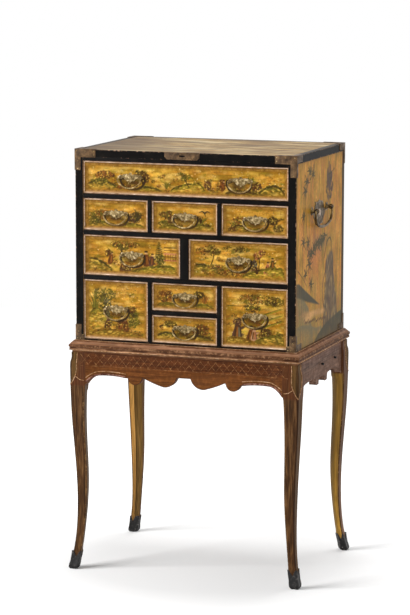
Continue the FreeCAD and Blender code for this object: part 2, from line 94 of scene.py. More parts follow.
camera = bpy.data.objects.new("camera", bpy.data.cameras.new("camera"))
bpy.context.scene.collection.objects.link(camera)
camera.data.lens = CAMERA_FOCAL_LENGTH
camera.data.clip_end = 100
turn = Matrix.Rotation(CAMERA_YAW, 4, "Z") @ Matrix.Rotation(pi / 2 - CAMERA_PITCH, 4, "X")
camera.matrix_world = Matrix.Translation(CAMERA_PLACE) @ turn @ Matrix.Rotation(CAMERA_ROLL, 4, "Z")
bpy.context.scene.camera = camera
bpy.context.scene.view_settings.view_transform = "Standard"
print("camera at", tuple(round(v, 2) for v in CAMERA_PLACE))

# %% [markdown]
# Two small helpers carry all the materials. One turns an sRGB hex colour, as a colour picker
# shows it, into the linear values that a shader works with. The other adds one node, sets its
# properties and fills its sockets: a list fills them in order, a dictionary by their names. A
# socket gets a value, or "name.Output" of a node that is already there, so a material reads as
# a list of what feeds what.
# %% Colour and node helpers
RGBA = {"data_type": "RGBA"}
SCALED = {"operation": "SCALE"}
TIMES = {"operation": "MULTIPLY"}


def linear(hex_colour):
    """An sRGB hex colour as linear red, green, blue and a full alpha."""
    parts = [int(hex_colour[i:i + 2], 16) / 255 for i in (1, 3, 5)]
    return tuple(v / 12.92 if v <= 0.04045 else ((v + 0.055) / 1.055) ** 2.4 for v in parts) + (1,)


def socket_named(sockets, key):
    """The switched-on socket of that name."""
    return next(socket for socket in sockets if socket.name == key and socket.enabled)


def add_node(tree, name, kind, inputs=(), settings=()):
    """Add a node called name, with its settings, and fill its sockets.

    A kind without a family of its own is a shader node. Settings are properties by name, or the
    stops of a ramp. A hex colour is a colour, and other text is "node.Output" and makes a link.
    """
    node = tree.nodes.new(kind if "Node" in kind else "ShaderNode" + kind)
    node.name = name
    if isinstance(settings, dict):
        for key, value in settings.items():
            setattr(node, key, value)
    else:
        for k, (place, colour) in enumerate(settings):
            elements = node.color_ramp.elements
            element = elements[k] if k < len(elements) else elements.new(1)
            element.position = place
            element.color = linear(colour)
    enabled = [socket for socket in node.inputs if socket.enabled]
    for key, value in inputs.items() if isinstance(inputs, dict) else zip(enabled, inputs):
        socket = socket_named(enabled, key) if isinstance(key, str) else key
        if isinstance(value, str) and value.startswith("#"):
            socket.default_value = linear(value)
        elif isinstance(value, str) and socket.type != "STRING":
            source, output = value.split(".")
            tree.links.new(socket_named(tree.nodes[source].outputs, output), socket)
        else:
            socket.default_value = value


def material(name, rows):
    """A material whose node tree is laid row by row; the last row is the shader."""
    made = bpy.data.materials.new(name)
    made.use_nodes = True
    made.node_tree.nodes.clear()
    shader, kind = rows[-1][:2]
    output = shader + (".BSDF" if "Bsdf" in kind else ".Shader")
    for row in [("coords", "TexCoord"), *rows, ("surface", "OutputMaterial", {"Surface": output})]:
        add_node(made.node_tree, *row)
    return made


def per_metre(size_mm):
    """The scale of a pattern whose features are that many millimetres wide."""
    return 1 / (size_mm * MM)


def stretched(name, long_axis, size_mm, ratio):
    """A row for a Mapping node that shrinks the object's coordinates to grain-sized units."""
    scale = [per_metre(size_mm)] * 3
    scale["XYZ".index(long_axis)] /= ratio
    return (name, "Mapping", {"Vector": "coords.Object", "Scale": scale})


print("helpers ready")

# %% [markdown]
# The stage is a white sweep: the world shows as pure white to the camera, and to mirror-like
# metal, and the floor takes the soft shadow. The floor's own glow, seen only by the camera, is
# weak round the cabinet, a painted shade there, and rises further out until the floor shows white.
# The lamps stand at a plain level, so a colour shows about as it is written. Two lamps are linked
# to the floor alone: a low one lays the short dark streak to the right of each foot, and one above
# lays the broad shade under the cabinet.
# %% Stage and lights
FLOOR_SIZE = 9
FLOOR_GLOW = 0.08
world = bpy.data.worlds.new("studio")
bpy.context.scene.world = world
world.use_nodes = True
world.node_tree.nodes.clear()
for row in (
    ("rays", "LightPath"),
    ("camera_or_glossy", "Math", ["rays.Is Camera Ray", "rays.Is Glossy Ray"], {"operation": "MAXIMUM"}),
    ("level", "MapRange", ["camera_or_glossy.Value", 0, 1, 0.52, 1]),
    ("air", "Background", {"Color": "#ffffff", "Strength": "level.Result"}),
    ("surface", "OutputWorld", {"Surface": "air.Background"}),
):
    add_node(world.node_tree, *row)

white_floor = material("painted_studio_floor", [
    ("rays", "LightPath"),
    ("matt", "BsdfDiffuse", {"Color": "#cecece"}),
    ("far", "VectorMath", ["coords.Object"], {"operation": "LENGTH"}),
    # Painted shade on the floor: the glow is weak within 0.4 m of the middle and full 1.2 m out.
    ("sweep", "MapRange", ["far.Value", 0.4, 1.2, FLOOR_GLOW, 0.6]),
    ("glow", "Emission", {"Color": "#ffffff", "Strength": "sweep.Result"}),
    ("seen", "AddShader", ["matt.BSDF", "glow.Emission"]),
    ("choice", "MixShader", ["rays.Is Camera Ray", "matt.BSDF", "seen.Shader"]),
])

floor_mesh = bpy.data.meshes.new("floor")
edge = FLOOR_SIZE / 2
floor_mesh.from_pydata([(-edge, -edge, 0), (edge, -edge, 0), (edge, edge, 0), (-edge, edge, 0)], [],
                       [(0, 1, 2, 3)])
floor_mesh.materials.append(white_floor)
floor = bpy.data.objects.new("floor", floor_mesh)
bpy.context.scene.collection.objects.link(floor)
floor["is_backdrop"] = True


# Each lamp's name, place, aim, size and watts, and whether it lights the floor or all the rest.
LAMPS = (
    ("window_left", (-3.2, -2.6, 2.7), (0, 0, 0.7), 1.3, 135, "EXCLUDE"),
    ("fill_right", (3.4, -2.8, 2.3), (0, 0, 0.8), 2.4, 78, "EXCLUDE"),
    ("overhead", (0.2, -0.6, 3.6), (0, 0, 1), 1.8, 14, "EXCLUDE"),
    ("low_left", (-3.6, -2.9, 0.85), (0, 0, 0), 2.6, 920, "INCLUDE"),
    ("shade_below", (0.2, 0.6, 3.3), (0, 0, 0), 1.2, 62, "INCLUDE"),
)
for name, place, target, size, watts, state in LAMPS:
    lamp = bpy.data.objects.new(name, bpy.data.lights.new(name, "AREA"))
    lamp.data.size = size
    lamp.data.energy = watts
    lamp.location = place
    lamp.rotation_euler = (Vector(target) - Vector(place)).to_track_quat("-Z", "Y").to_euler()
    bpy.context.scene.collection.objects.link(lamp)
    linked = bpy.data.collections.new(name + "_floor")
    linked.objects.link(floor)
    linked.collection_objects[0].light_linking.link_state = state
    lamp.light_linking.receiver_collection = linked
print("stage and", len(bpy.data.lights), "lamps")

# %% [markdown]
# Meshes are gathered in millimetres in a small Shape: points, faces, the material each face
# uses, and any per-point values that a material reads. One function turns a Shape into a
# piece that rides on its body and stands for the nodes it replaces.
# %% Mesh helpers
SHARP_ANGLE = 38


class Shape:
    """Points and faces in millimetres, with a material number for each face."""

    def __init__(self, points=(), faces=(), **values):
        self.points, self.faces, self.slots, self.values = [], [], [], {}
        self.add(points, faces, **values)

    def add(self, points, faces, slots=None, **values):
        """Add a part. Its per-point values have the names that the first part's have."""
        start = len(self.points)
        self.points.extend(points)
        self.faces.extend(tuple(start + i for i in face) for face in faces)
        self.slots.extend(slots or [0] * len(faces))
        for key, rows in values.items():
            self.values.setdefault(key, []).extend(rows)

    def merged(self, other, move=(0, 0, 0)):
        """Add another shape, shifted."""
        self.add(np.add(other.points, move), other.faces, other.slots)


def skin(rings, count, joined=False):
    """Faces between closed rings of count points each. The end rings are filled, or join up."""
    faces = [(j * count + k, j * count + (k + 1) % count,
              (j + 1) % rings * count + (k + 1) % count, (j + 1) % rings * count + k)
             for j in range(rings if joined else rings - 1) for k in range(count)]
    return faces if joined else faces + [tuple(range(count)),
                                         tuple(range((rings - 1) * count, rings * count))]


def grid(rows, count, start=0):
    """Faces between open rows of count points each."""
    return [(k, k + 1, k + 1 + count, k + count)
            for j in range(rows - 1) for k in range(start + j * count, start + (j + 1) * count - 1)]


def rim_of(rows, count):
    """The points round such a grid: along its first row, up, back along the last row and down."""
    last = (rows - 1) * count
    return (list(range(count - 1)) + list(range(count - 1, last, count))
            + list(range(last + count - 1, last, -1)) + list(range(last, 0, -count)))


def mesh_of(name, shape):
    """The shape as a mesh in metres, with its per-point values as attributes."""
    mesh = bpy.data.meshes.new(name)
    mesh.from_pydata([tuple(v * MM for v in point) for point in shape.points], [], shape.faces)
    mesh.polygons.foreach_set("material_index", shape.slots)
    mesh.polygons.foreach_set("use_smooth", [True] * len(shape.faces))
    for key, rows in shape.values.items():
        data = np.array(rows, np.float32)
        wide = data.ndim > 1
        layer = mesh.attributes.new(key, "FLOAT_COLOR" if wide else "FLOAT", "POINT")
        layer.data.foreach_set("color" if wide else "value", data.ravel())
    return mesh


def placed(name, mesh, body=ROOT, replaces=()):
    """Put a finished mesh in the scene, to ride on its body and stand for the nodes it replaces."""
    piece = bpy.data.objects.new(name, mesh)
    bpy.context.scene.collection.objects.link(piece)
    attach(piece, body)
    if replaces:
        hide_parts(*replaces)


def new_piece(name, shape, materials, body=ROOT, replaces=(), sharp=SHARP_ANGLE):
    """Make a piece from a shape, with edges above that angle in degrees left sharp."""
    mesh = mesh_of(name, shape)
    for entry in materials:
        mesh.materials.append(entry)
    work = bmesh.new()
    work.from_mesh(mesh)
    bmesh.ops.recalc_face_normals(work, faces=work.faces)
    work.to_mesh(mesh)
    work.free()
    mesh.set_sharp_from_angle(angle=radians(sharp))
    placed(name, mesh, body, replaces)


print("mesh helpers ready")

# %% [markdown]
# The yellow ground is oil-resin varnish over gesso, rubbed smooth: ochre that has darkened
# unevenly, with a fine network of cracks and long streaks where the board beneath has moved.
# The painted scenes sit on it as thin oil colour. Their place and colour come from the mesh
# as a "paint" attribute, and the noise here only breaks their edges like a dry brush.
# %% Painted yellow lacquer
OLD_SHINE = 0.08


def painted_lacquer(name, grain_axis, ground, drift, streak, streak_strength=0.5, patch=60):
    """Yellow varnished ground with the painting of the paint attribute on it.

    ground is its dark, middle and pale colour, drift the two tints it wanders to along the grain.
    """
    return material(name, [
        ("cloud", "TexNoise", ["coords.Object", per_metre(patch), 4, 0.6]),
        ("ground", "ValToRGB", ["cloud.Fac"], [(0.36, ground[0]), (0.5, ground[1]), (0.63, ground[2])]),
        stretched("broad", grain_axis, 15, 8),
        ("drift", "TexNoise", ["broad.Vector", 1, 3]),
        ("drift_tone", "ValToRGB", ["drift.Fac"], [(0.38, drift[0]), (0.5, ground[1]), (0.62, drift[1])]),
        ("drifted", "Mix", [0.55, "ground.Color", "drift_tone.Color"], RGBA),
        stretched("along", grain_axis, 2.6, 22),
        ("streak", "TexNoise", ["along.Vector", 1, 4, 0.62]),
        ("streak_level", "MapRange", ["streak.Fac", 0.52, 0.72, 0, streak_strength]),
        ("streaked", "Mix", ["streak_level.Result", "drifted.Result", streak], RGBA),
        ("mottle", "TexNoise", ["coords.Object", per_metre(9), 6, 0.7]),
        ("mottle_level", "MapRange", ["mottle.Fac", 0.35, 0.68, 0.74, 1.14]),
        ("aged", "VectorMath", ["streaked.Result", "mottle_level.Result"], SCALED),
        ("cracks", "TexVoronoi", {"Vector": "coords.Object", "Scale": per_metre(4.5)},
         {"feature": "DISTANCE_TO_EDGE"}),
        ("crack_level", "MapRange", ["cracks.Distance", 0, 0.05, 0.28, 0]),
        ("crazed", "Mix", ["crack_level.Result", "aged.Vector", "#5b3d14"], RGBA),
        ("paint", "Attribute", {}, {"attribute_name": "paint"}),
        ("brush", "TexNoise", ["coords.Object", per_metre(3), 3, 0.65]),
        ("ragged", "MapRange", ["brush.Fac", 0, 1, -0.35, 0.35]),
        ("edge", "Math", ["paint.Alpha", "ragged.Result"], {"operation": "ADD"}),
        ("cover", "MapRange", ["edge.Value", 0.05, 0.7, 0, 0.95]),
        ("pigment", "VectorMath", ["paint.Color", "mottle_level.Result"], SCALED),
        ("colour", "Mix", ["cover.Result", "crazed.Result", "pigment.Vector"], RGBA),
        ("gloss", "MapRange", ["mottle.Fac", 0, 1, 0.34, 0.55]),
        ("relief", "Bump", {"Height": "cracks.Distance", "Strength": 0.06, "Distance": 0.0004}),
        ("lacquer", "BsdfPrincipled", {"Base Color": "colour.Result", "Roughness": "gloss.Result",
         "Specular IOR Level": OLD_SHINE, "Normal": "relief.Normal"}),
    ])


drawer_lacquer = painted_lacquer("yellow_japanned_drawer_fronts", "X", ("#6f480c", "#a8761c", "#dcae48"),
                                 ("#796313", "#c98a30"), "#4c2f08", 0.8)
side_lacquer = painted_lacquer("yellow_japanned_sides", "Z", ("#93631e", "#bb862e", "#d9a446"),
                               ("#8f751a", "#d68638"), "#5e3c0e", 0.7)
top_lacquer = painted_lacquer("faded_japanned_top", "X", ("#6a4a20", "#b08d52", "#e8ce94"),
                              ("#75562a", "#cfa25e"), "#452f12", 1)

# The moulding round a drawer front: the raised lip is worn through to pinkish gesso. The cove is
# coloured by the way it faces: a painted highlight where it looks up or left, as if lit from the
# upper left, and painted shade where it looks down or right.
worn_lip = material("gesso_lip_worn_to_pink", [
    stretched("along", "X", 5, 4),
    ("wear", "TexNoise", ["along.Vector", 1, 6, 0.75]),
    ("tone", "ValToRGB", ["wear.Fac"],
     [(0.34, "#6a4830"), (0.44, "#a6876c"), (0.56, "#cbad94"), (0.68, "#ecd8c2")]),
    ("gesso", "BsdfPrincipled",
     {"Base Color": "tone.Color", "Roughness": 0.6, "Specular IOR Level": OLD_SHINE}),
])
cove_lacquer = material("ochre_cove_round_the_panel", [
    ("wear", "TexNoise", ["coords.Object", per_metre(14), 6, 0.72]),
    ("tone", "ValToRGB", ["wear.Fac"], [(0.36, "#604010"), (0.5, "#875f22"), (0.68, "#a67e38")]),
    ("shape", "NewGeometry"),
    ("facing", "VectorMath", ["shape.Normal", (-0.3, 0, 0.95)], {"operation": "DOT_PRODUCT"}),
    ("worn_up", "MapRange", ["facing.Value", 0.1, 0.8, 0, 0.75]),
    ("grimed", "MapRange", ["facing.Value", 0, -0.6, 0, 0.6]),
    ("pale", "Mix", ["worn_up.Result", "tone.Color", "#c29c74"], RGBA),
    ("dusty", "Mix", ["grimed.Result", "pale.Result", "#4f3510"], RGBA),
    ("lacquer", "BsdfPrincipled",
     {"Base Color": "dusty.Result", "Roughness": 0.45, "Specular IOR Level": OLD_SHINE}),
])
print("painted grounds:", drawer_lacquer.name, side_lacquer.name, top_lacquer.name)

# %% [markdown]
# The boxes and the inside of the carcass are bare softwood that has gone brown with age, with
# the grain running along each board.
# %% Bare softwood


def bare_wood(name, grain_axis):
    """Brown softwood, unpainted, with its grain along an axis."""
    return material(name, [
        stretched("along", grain_axis, 7, 16),
        ("grain", "TexNoise",
         {"Vector": "along.Vector", "Scale": 1, "Detail": 7, "Roughness": 0.6, "Distortion": 0.4}),
        ("tone", "ValToRGB", ["grain.Fac"], [(0.3, "#7b5531"), (0.48, "#a37c4e"), (0.7, "#bf9a6a")]),
        ("relief", "Bump", {"Height": "grain.Fac", "Strength": 0.15, "Distance": 0.0006}),
        ("wood", "BsdfPrincipled",
         {"Base Color": "tone.Color", "Roughness": 0.68, "Normal": "relief.Normal"}),
    ])


wood_across = bare_wood("old_softwood_grain_across", "X")
wood_deep = bare_wood("old_softwood_grain_front_to_back", "Y")
print("bare woods:", wood_across.name, wood_deep.name)

# %% [markdown]
# A board with a painted face is one closed mesh. Its face is a fine grid of points that holds
# the painting; round it run loops of points that follow the moulding, turn over the edge and
# close the back. Each loop is a distance in from the board's edge and a depth below its face.
# %% Boards with a painted face
PAINT_THICKNESS = 0.25
ARRIS_REACH = 1.3


def framed_board(painting, middle, right, up, width, height, loops, back_slot=1):
    """A board whose panel is the painting's grid.

    middle is the centre of the outer face, right and up are its unit directions, and each loop
    is (inset, depth, slot) from the panel's border out to the back edge.
    """
    right, up = np.array(right, float), np.array(up, float)
    inset, depth, _ = loops[0]
    half_w, half_h = width / 2 - inset, height / 2 - inset
    rows, count = painting.rows + 1, painting.columns + 1
    grid_x, grid_y = np.meshgrid(np.linspace(-half_w, half_w, count), np.linspace(-half_h, half_h, rows))

    def places(x, y, deep):
        """Points at distances right and up from the middle, and that deep."""
        deep = np.broadcast_to(deep, x.shape)
        return (np.array(middle) + x[..., None] * right + y[..., None] * up
                - deep[..., None] * np.cross(right, up)).reshape(-1, 3)

    paint = np.concatenate([painting.colours(), painting.cover[..., None]], axis=2).reshape(-1, 4)
    shape = Shape(places(grid_x, grid_y, depth - painting.cover * PAINT_THICKNESS), grid(rows, count),
                  paint=paint, arris=[0] * len(paint))
    inner = border = rim_of(rows, count)
    flat_x, flat_y = grid_x.ravel()[border], grid_y.ravel()[border]
    size = len(border)
    for inset, depth, slot in loops[1:]:
        outer = range(len(shape.points), len(shape.points) + size)
        grow_x, grow_y = (width / 2 - inset) / half_w, (height / 2 - inset) / half_h
        ring = places(flat_x * grow_x, flat_y * grow_y, depth)
        shape.add(ring, [], arris=[float(max(inset, depth) < ARRIS_REACH)] * size,
                  paint=[(0, 0, 0, 0)] * size)
        shape.faces += [(outer[m], outer[m + 1 - size], inner[m + 1 - size], inner[m]) for m in range(size)]
        shape.slots += [slot] * size
        inner = outer
    shape.faces.append(tuple(reversed(inner)))
    shape.slots.append(back_slot)
    return shape


print("boards can be made")

# %% [markdown]
# The scenes on the drawers are free chinoiserie: banks of earth, feathery trees, tufts of
# reeds, small figures in robes. They are made here in the manner of the type, not copied. A
# Painting is a grid of points on which soft strokes are laid one over another, as a painter
# lays wet colour: first the shaded border, then banks and washes, then leaves, then ink.
# %% A painting laid in strokes


def colour3(hex_colour):
    """The colour as three linear values that can be mixed."""
    return np.array(linear(hex_colour)[:3])


class Painting:
    """Paint on a grid of points, in millimetres from the middle of the panel."""

    def __init__(self, width, height, cell, seed):
        self.width = width
        self.height = height
        self.columns = max(2, round(width / cell))
        self.rows = max(2, round(height / cell))
        self.x = np.linspace(-width / 2, width / 2, self.columns + 1)
        self.y = np.linspace(-height / 2, height / 2, self.rows + 1)
        self.load = np.zeros((self.rows + 1, self.columns + 1, 3))
        self.cover = np.zeros((self.rows + 1, self.columns + 1))
        chance = random.Random(seed)
        self.vary, self.one_of, self.chance = chance.uniform, chance.choice, chance

    def at(self, u, v):
        """A place given as shares of the width and the height, from the lower left."""
        return (u - 0.5) * self.width, (v - 0.5) * self.height

    def window(self, x0, x1, y0, y1):
        """The rows, columns and places of the points in an area."""
        cols = slice(np.searchsorted(self.x, x0), np.searchsorted(self.x, x1, "right"))
        rows = slice(np.searchsorted(self.y, y0), np.searchsorted(self.y, y1, "right"))
        return rows, cols, *np.meshgrid(self.x[cols], self.y[rows])

    def lay(self, rows, cols, mask, colour):
        """Lay a colour over what is there, as thick as the mask says."""
        mask = np.clip(mask, 0, 1)
        self.load[rows, cols] = self.load[rows, cols] * (1 - mask[..., None]) + colour * mask[..., None]
        self.cover[rows, cols] = self.cover[rows, cols] * (1 - mask) + mask

    def dab(self, x, y, long, wide, angle, colour, strength=0.9, soft=0.5):
        """One touch of the brush: a soft ellipse."""
        reach = max(long, wide)
        rows, cols, px, py = self.window(x - reach, x + reach, y - reach, y + reach)
        across = (px - x) * cos(angle) + (py - y) * sin(angle)
        along = (py - y) * cos(angle) - (px - x) * sin(angle)
        far = np.sqrt((across / long) ** 2 + (along / wide) ** 2)
        self.lay(rows, cols, strength * np.clip((1 - far) / soft, 0, 1),
                 colour3(colour) * self.vary(0.72, 1.3))

    def stroke(self, points, width, colour, strength=0.9, taper=0.35):
        """A drawn line that thins towards its end."""
        smooth = flowing(points)
        for k in range(len(smooth) - 1):
            (x0, y0), (x1, y1) = smooth[k], smooth[k + 1]
            thick = width * (1 - (1 - taper) * k / (len(smooth) - 1))
            reach = thick + 1.5
            rows, cols, px, py = self.window(min(x0, x1) - reach, max(x0, x1) + reach,
                                             min(y0, y1) - reach, max(y0, y1) + reach)
            length = max((x1 - x0) ** 2 + (y1 - y0) ** 2, 1e-9)
            share = np.clip(((px - x0) * (x1 - x0) + (py - y0) * (y1 - y0)) / length, 0, 1)
            far = np.hypot(px - x0 - share * (x1 - x0), py - y0 - share * (y1 - y0))
            self.lay(rows, cols, strength * (thick / 2 + 0.9 - far) / 1.2, colour3(colour))

    def wash(self, shape_of, colour, strength):
        """Colour over the whole panel, as strong as shape_of(x, y) says."""
        px, py = np.meshgrid(self.x, self.y)
        self.lay(slice(None), slice(None), strength * shape_of(px, py), colour3(colour))

    def colours(self):
        """The colour of the paint alone, without the bare ground between."""
        return self.load / np.maximum(self.cover, 1e-4)[..., None]


def flowing(points, steps=5):
    """Extra points on a smooth curve through the given ones."""
    if len(points) < 3:
        return points
    ends = [points[0]] + list(points) + [points[-1]]
    made = []
    for a, b, c, d in zip(ends, ends[1:], ends[2:], ends[3:]):
        for s in range(steps):
            t = s / steps
            made.append(tuple(0.5 * (2 * b[i] + (c[i] - a[i]) * t
                                     + (2 * a[i] - 5 * b[i] + 4 * c[i] - d[i]) * t * t
                                     + (3 * b[i] - a[i] - 3 * c[i] + d[i]) * t ** 3) for i in (0, 1)))
    return made + [points[-1]]


# Pigments, by the painter's names
OLIVE = "#544e12"
LEAF = "#4d4a12"
SAP = "#7b701a"
DEEP_GREEN = "#2c2b0e"
RUSSET = "#5a2c10"
RUST = "#844a16"
UMBER = "#2e1a09"
INK = "#1d1610"
STRAW = "#d9b044"
SKIN = "#c08f58"
ROSE = "#9a5638"
PLUM = "#452a26"
GREY_GREEN = "#55563f"
BORDER_BROWN = "#765012"
print("pigments ready")

# %% [markdown]
# Each motif is a few dozen strokes with a little chance in them: where each leaf falls, how
# far it leans. The seed belongs to the panel, so the painting is the same at every run.
# %% Motifs


def border_shade(p, strength=0.5, reach=5):
    """Painted shade in from the panel's border, stronger along the top and left, where the moulding casts
    its shadow on a drawer panel.
    """
    p.wash(lambda x, y: np.exp(-np.minimum(p.width / 2 - abs(x), p.height / 2 - abs(y)) / reach)
           + 0.7 * np.exp(-np.minimum(x + p.width / 2, p.height / 2 - y) / reach), BORDER_BROWN, strength)


def touches(p, u0, u1, v0, v1, colours, count, long=3.6, wide=1.8, strength=0.6, soft=0.6, lean=0.5):
    """Loose touches over an area."""
    for _ in range(count):
        x, y = p.at(p.vary(u0, u1), p.vary(v0, v1))
        p.dab(x, y, long * p.vary(0.6, 1.5), wide * p.vary(0.6, 1.5),
              p.vary(-lean, lean), p.one_of(colours), strength * p.vary(0.4, 1), soft)


LONG_PANEL = 400
HANDLE_LIFT = 4


def handle_places(p):
    """Where the middle of each handle is: a long panel has two."""
    return [p.at(u, 0.5) for u in ((0.23, 0.77) if p.width > LONG_PANEL else (0.5,))]


def underpainting(p):
    """Broad wet tones under everything, a haze of earth over the lower half, and painted shade at each
    handle.
    """
    area = p.width * p.height / 1000
    touches(p, 0, 1, 0, 1, (STRAW, "#cf9432", "#8f6212", "#7d6812", "#e2bc60"), int(area * 5), 18, 6.5,
            0.55, 0.95, 0.15)
    touches(p, 0, 1, 0, 0.6, (OLIVE, SAP, BORDER_BROWN, RUST), int(area * 3), 10, 3.4, 0.7, 0.9, 0.3)
    touches(p, 0, 1, 0.1, 1, (UMBER, BORDER_BROWN, RUSSET, "#ecd08a"), int(area * 10),
            2.6, 1.2, 0.65, 0.6, 1.5)
    # Painted shade: a soft umber patch round each handle, a little below it.
    for x, y in handle_places(p):
        p.dab(x, y - 4, 46, 25, 0, UMBER, 0.55, 0.9)


def painted_handle_shadow(p):
    """Painted shadow of each handle on the varnish: a dark arc just under the bail, a soft patch under the
    plate, and dark touches by the posts.
    """
    for x, y in handle_places(p):
        y += HANDLE_LIFT
        p.dab(x, y - 14, 34, 17, 0, UMBER, 0.5, 0.7)
        p.stroke([(x - 36, y - 2), (x - 37, y - 14), (x - 24, y - 31), (x + 2, y - 37), (x + 27, y - 31),
                  (x + 40, y - 14), (x + 39, y - 1)], 6.5, INK, 0.62, 0.9)
        for side in (-1, 1):
            p.dab(x + side * 31 + 2, y - 3, 10, 9, 0, INK, 0.6, 0.6)


def clump(p, u, v, w, h, colours, count, leaf=3.3, strength=0.95):
    """A loose mass of leaves: soft shade first, then leaves, dark touches, and a few lights."""
    x, y = p.at(u, v)
    w, h = w * 1.1, h * 1.3
    for share, size, force, soft, lift in ((0.3, 2.3, 0.6, 0.9, -1), (1.3, 1, 1, 0.5, 0),
                                           (0.4, 0.7, 1, 0.5, -1.5), (0.16, 0.8, 0.8, 0.6, 1.5)):
        tints = (STRAW,) if lift > 0 else (UMBER, INK) if lift < -1 else colours
        for _ in range(int(count * share)):
            around = p.vary(0, 2 * pi)
            out = sqrt(p.chance.random())
            long = leaf * size * p.vary(0.6, 1.4)
            p.dab(x + out * w * cos(around), y + out * h * sin(around) + lift, long,
                  long * p.vary(0.4, 0.8), p.vary(0, pi),
                  p.one_of(tints), strength * force * p.vary(0.5, 1), soft)


def undergrowth(p):
    """Knots of dark touches along the ground and round the middle, where the handle hangs."""
    for k in range(round(p.width * p.height / 1300)):
        level = p.vary(0.05, 0.30) if k % 3 else p.vary(0.32, 0.66)
        clump(p, p.vary(0.04, 0.96), level, p.vary(5, 12), p.vary(2, 6),
              (UMBER, RUSSET, OLIVE, DEEP_GREEN, RUST), 10, 2.5, 0.8)


def bank(p, u0, u1, v, rise, colour, crest, skew=0.5, fade=8):
    """A bank of earth: touches that thin out below a dark broken crest."""
    x0, y0 = p.at(u0, v)
    x1, _ = p.at(u1, v)
    peak = x0 + skew * (x1 - x0)

    def crest_of(x):
        """The height of the crest above a place."""
        share = (x - x0) / (peak - x0) if x < peak else (x1 - x) / (x1 - peak)
        return y0 + rise * p.height * sin(max(share, 0) * pi / 2) ** 0.8

    for _ in range(int((x1 - x0) * 3)):
        x = p.vary(x0, x1)
        below = p.chance.expovariate(1 / fade)
        p.dab(x, crest_of(x) - below, p.vary(4, 9), p.vary(1.6, 3.4),
              p.vary(-0.3, 0.3), p.one_of((colour, colour, colour, crest, BORDER_BROWN, STRAW)),
              0.95 * exp(-below / fade / 3), 0.8)
    for _ in range(int((x1 - x0) * 0.7)):
        x = p.vary(x0, x1)
        slope = atan((crest_of(x + 2) - crest_of(x - 2)) / 4)
        p.dab(x, crest_of(x) - p.vary(0, 5), p.vary(3, 7), p.vary(1.6, 3),
              slope + p.vary(-0.2, 0.2), p.one_of((crest, crest, UMBER)), 0.8)


def tree(p, u, v, height, lean, colours, trunk=UMBER, leaves=40):
    """A crooked trunk with forks, each carrying a flat clump."""
    x, y = p.at(u, v)
    top = height * p.height
    p.stroke([(x, y), (x + lean * 0.55, y + top * 0.45), (x + lean * 0.5, y + top * 0.72),
              (x + lean, y + top)], 2.8, trunk, 0.9)
    for side in (-1, 1, -1, 1, -1):
        share = p.vary(0.4, 0.95)
        start = (x + lean * share, y + top * share)
        end = (start[0] + side * p.vary(5, 12), start[1] + p.vary(2, 9))
        p.stroke([start, ((start[0] + end[0]) / 2, start[1] + 1), end], 1.5, trunk, 0.8)
        clump(p, end[0] / p.width + 0.5, end[1] / p.height + 0.5, 9, 4.5, colours, leaves // 5)


def pine(p, u, v, height, colours):
    """A dark pine: a straight stem and shelves that widen downwards."""
    x, y = p.at(u, v)
    top = height * p.height
    p.stroke([(x, y), (x + 0.6, y + top)], 1.6, UMBER, 0.8)
    for k in range(9):
        level = y + top * (0.18 + 0.82 * k / 8)
        reach = 2 + (1 - k / 9) * top * 0.22
        for side in (-1, 1):
            p.stroke([(x, level + 1), (x + side * reach, level - 1.4)], 2.4, p.one_of(colours), 0.9)


def reeds(p, u, v, spread, height, colours, count=12, width=1.8):
    """Blades that fan out of one root."""
    x, y = p.at(u, v)
    for k in range(count):
        lean = (k / (count - 1) - 0.5) * spread * p.vary(0.8, 1.2)
        tall = height * p.vary(0.6, 1) * (1 - 0.5 * abs(lean) / spread)
        p.stroke([(x + lean * 0.1, y), (x + lean * 0.5, y + tall * 0.7), (x + lean, y + tall)], width,
                 p.one_of(colours), 0.85, 0.3)


def figure(p, u, v, size, robe, sash, lean=0):
    """A robed figure of a few touches; the head is a dark touch over a small plain one."""
    x, y = p.at(u, v)
    tilt = lean * size
    p.stroke([(x - size * 0.06, y), (x, y + size * 0.3), (x + tilt * 0.5, y + size * 0.58)], size * 0.44,
             robe, 0.9, 0.5)
    p.dab(x + size * 0.15, y + size * 0.05, size * 0.24, size * 0.1, 0.3, robe)
    for side, colour, force in ((-0.13, UMBER, 0.85), (0.1, sash, 0.65), (-0.02, RUST, 0.5),
                                (0.2, INK, 0.5)):
        p.stroke([(x + side * size, y), (x + side * size * 0.6 + tilt * 0.3, y + size * 0.46)], size * 0.08,
                 colour, force, 0.6)
    p.dab(x + size * 0.24 + tilt * 0.4, y + size * 0.42, size * 0.18, size * 0.08, 0.5, robe)
    p.dab(x + tilt * 0.6, y + size * 0.74, size * 0.13, size * 0.11, 0, SKIN, 0.75)
    p.dab(x + tilt * 0.6, y + size * 0.84, size * 0.17, size * 0.1, 0, INK, 0.9)


def bird(p, u, v, size, colour):
    """A bird with spread wings."""
    x, y = p.at(u, v)
    for side in (-1, 1):
        p.stroke([(x, y), (x + side * size * 0.45, y + size * 0.3), (x + side * size, y + size * 0.12)],
                 size * 0.26, colour, 0.9, 0.2)
    p.dab(x, y, size * 0.18, size * 0.4, 0.4, colour, 0.95)
    p.stroke([(x, y - size * 0.2), (x + size * 0.25, y - size * 0.6)], 1.6, colour, 0.9)


def terrace(p, u0, u1, v, rise):
    """The end of a terrace: a few red rails and a roof line, with the ground between them."""
    x0, y = p.at(u0, v)
    x1, _ = p.at(u1, v)
    top = rise * p.height
    for share, colour, width in ((0, ROSE, 4), (0.27, RUSSET, 2.2), (0.5, "#b8764c", 4.6),
                                 (0.78, RUSSET, 2), (1, UMBER, 2.4)):
        p.stroke([(x0, y + top * share), (x1, y + top * share)], width, colour, 0.8, 0.9)
    for k in range(5):
        x = x0 + (x1 - x0) * (0.1 + 0.2 * k)
        p.stroke([(x, y), (x, y + top * 0.5)], 1.4, RUSSET, 0.6, 0.9)


print("motifs:", ", ".join(f.__name__ for f in (bank, clump, tree, pine, reeds, figure, bird, terrace)))
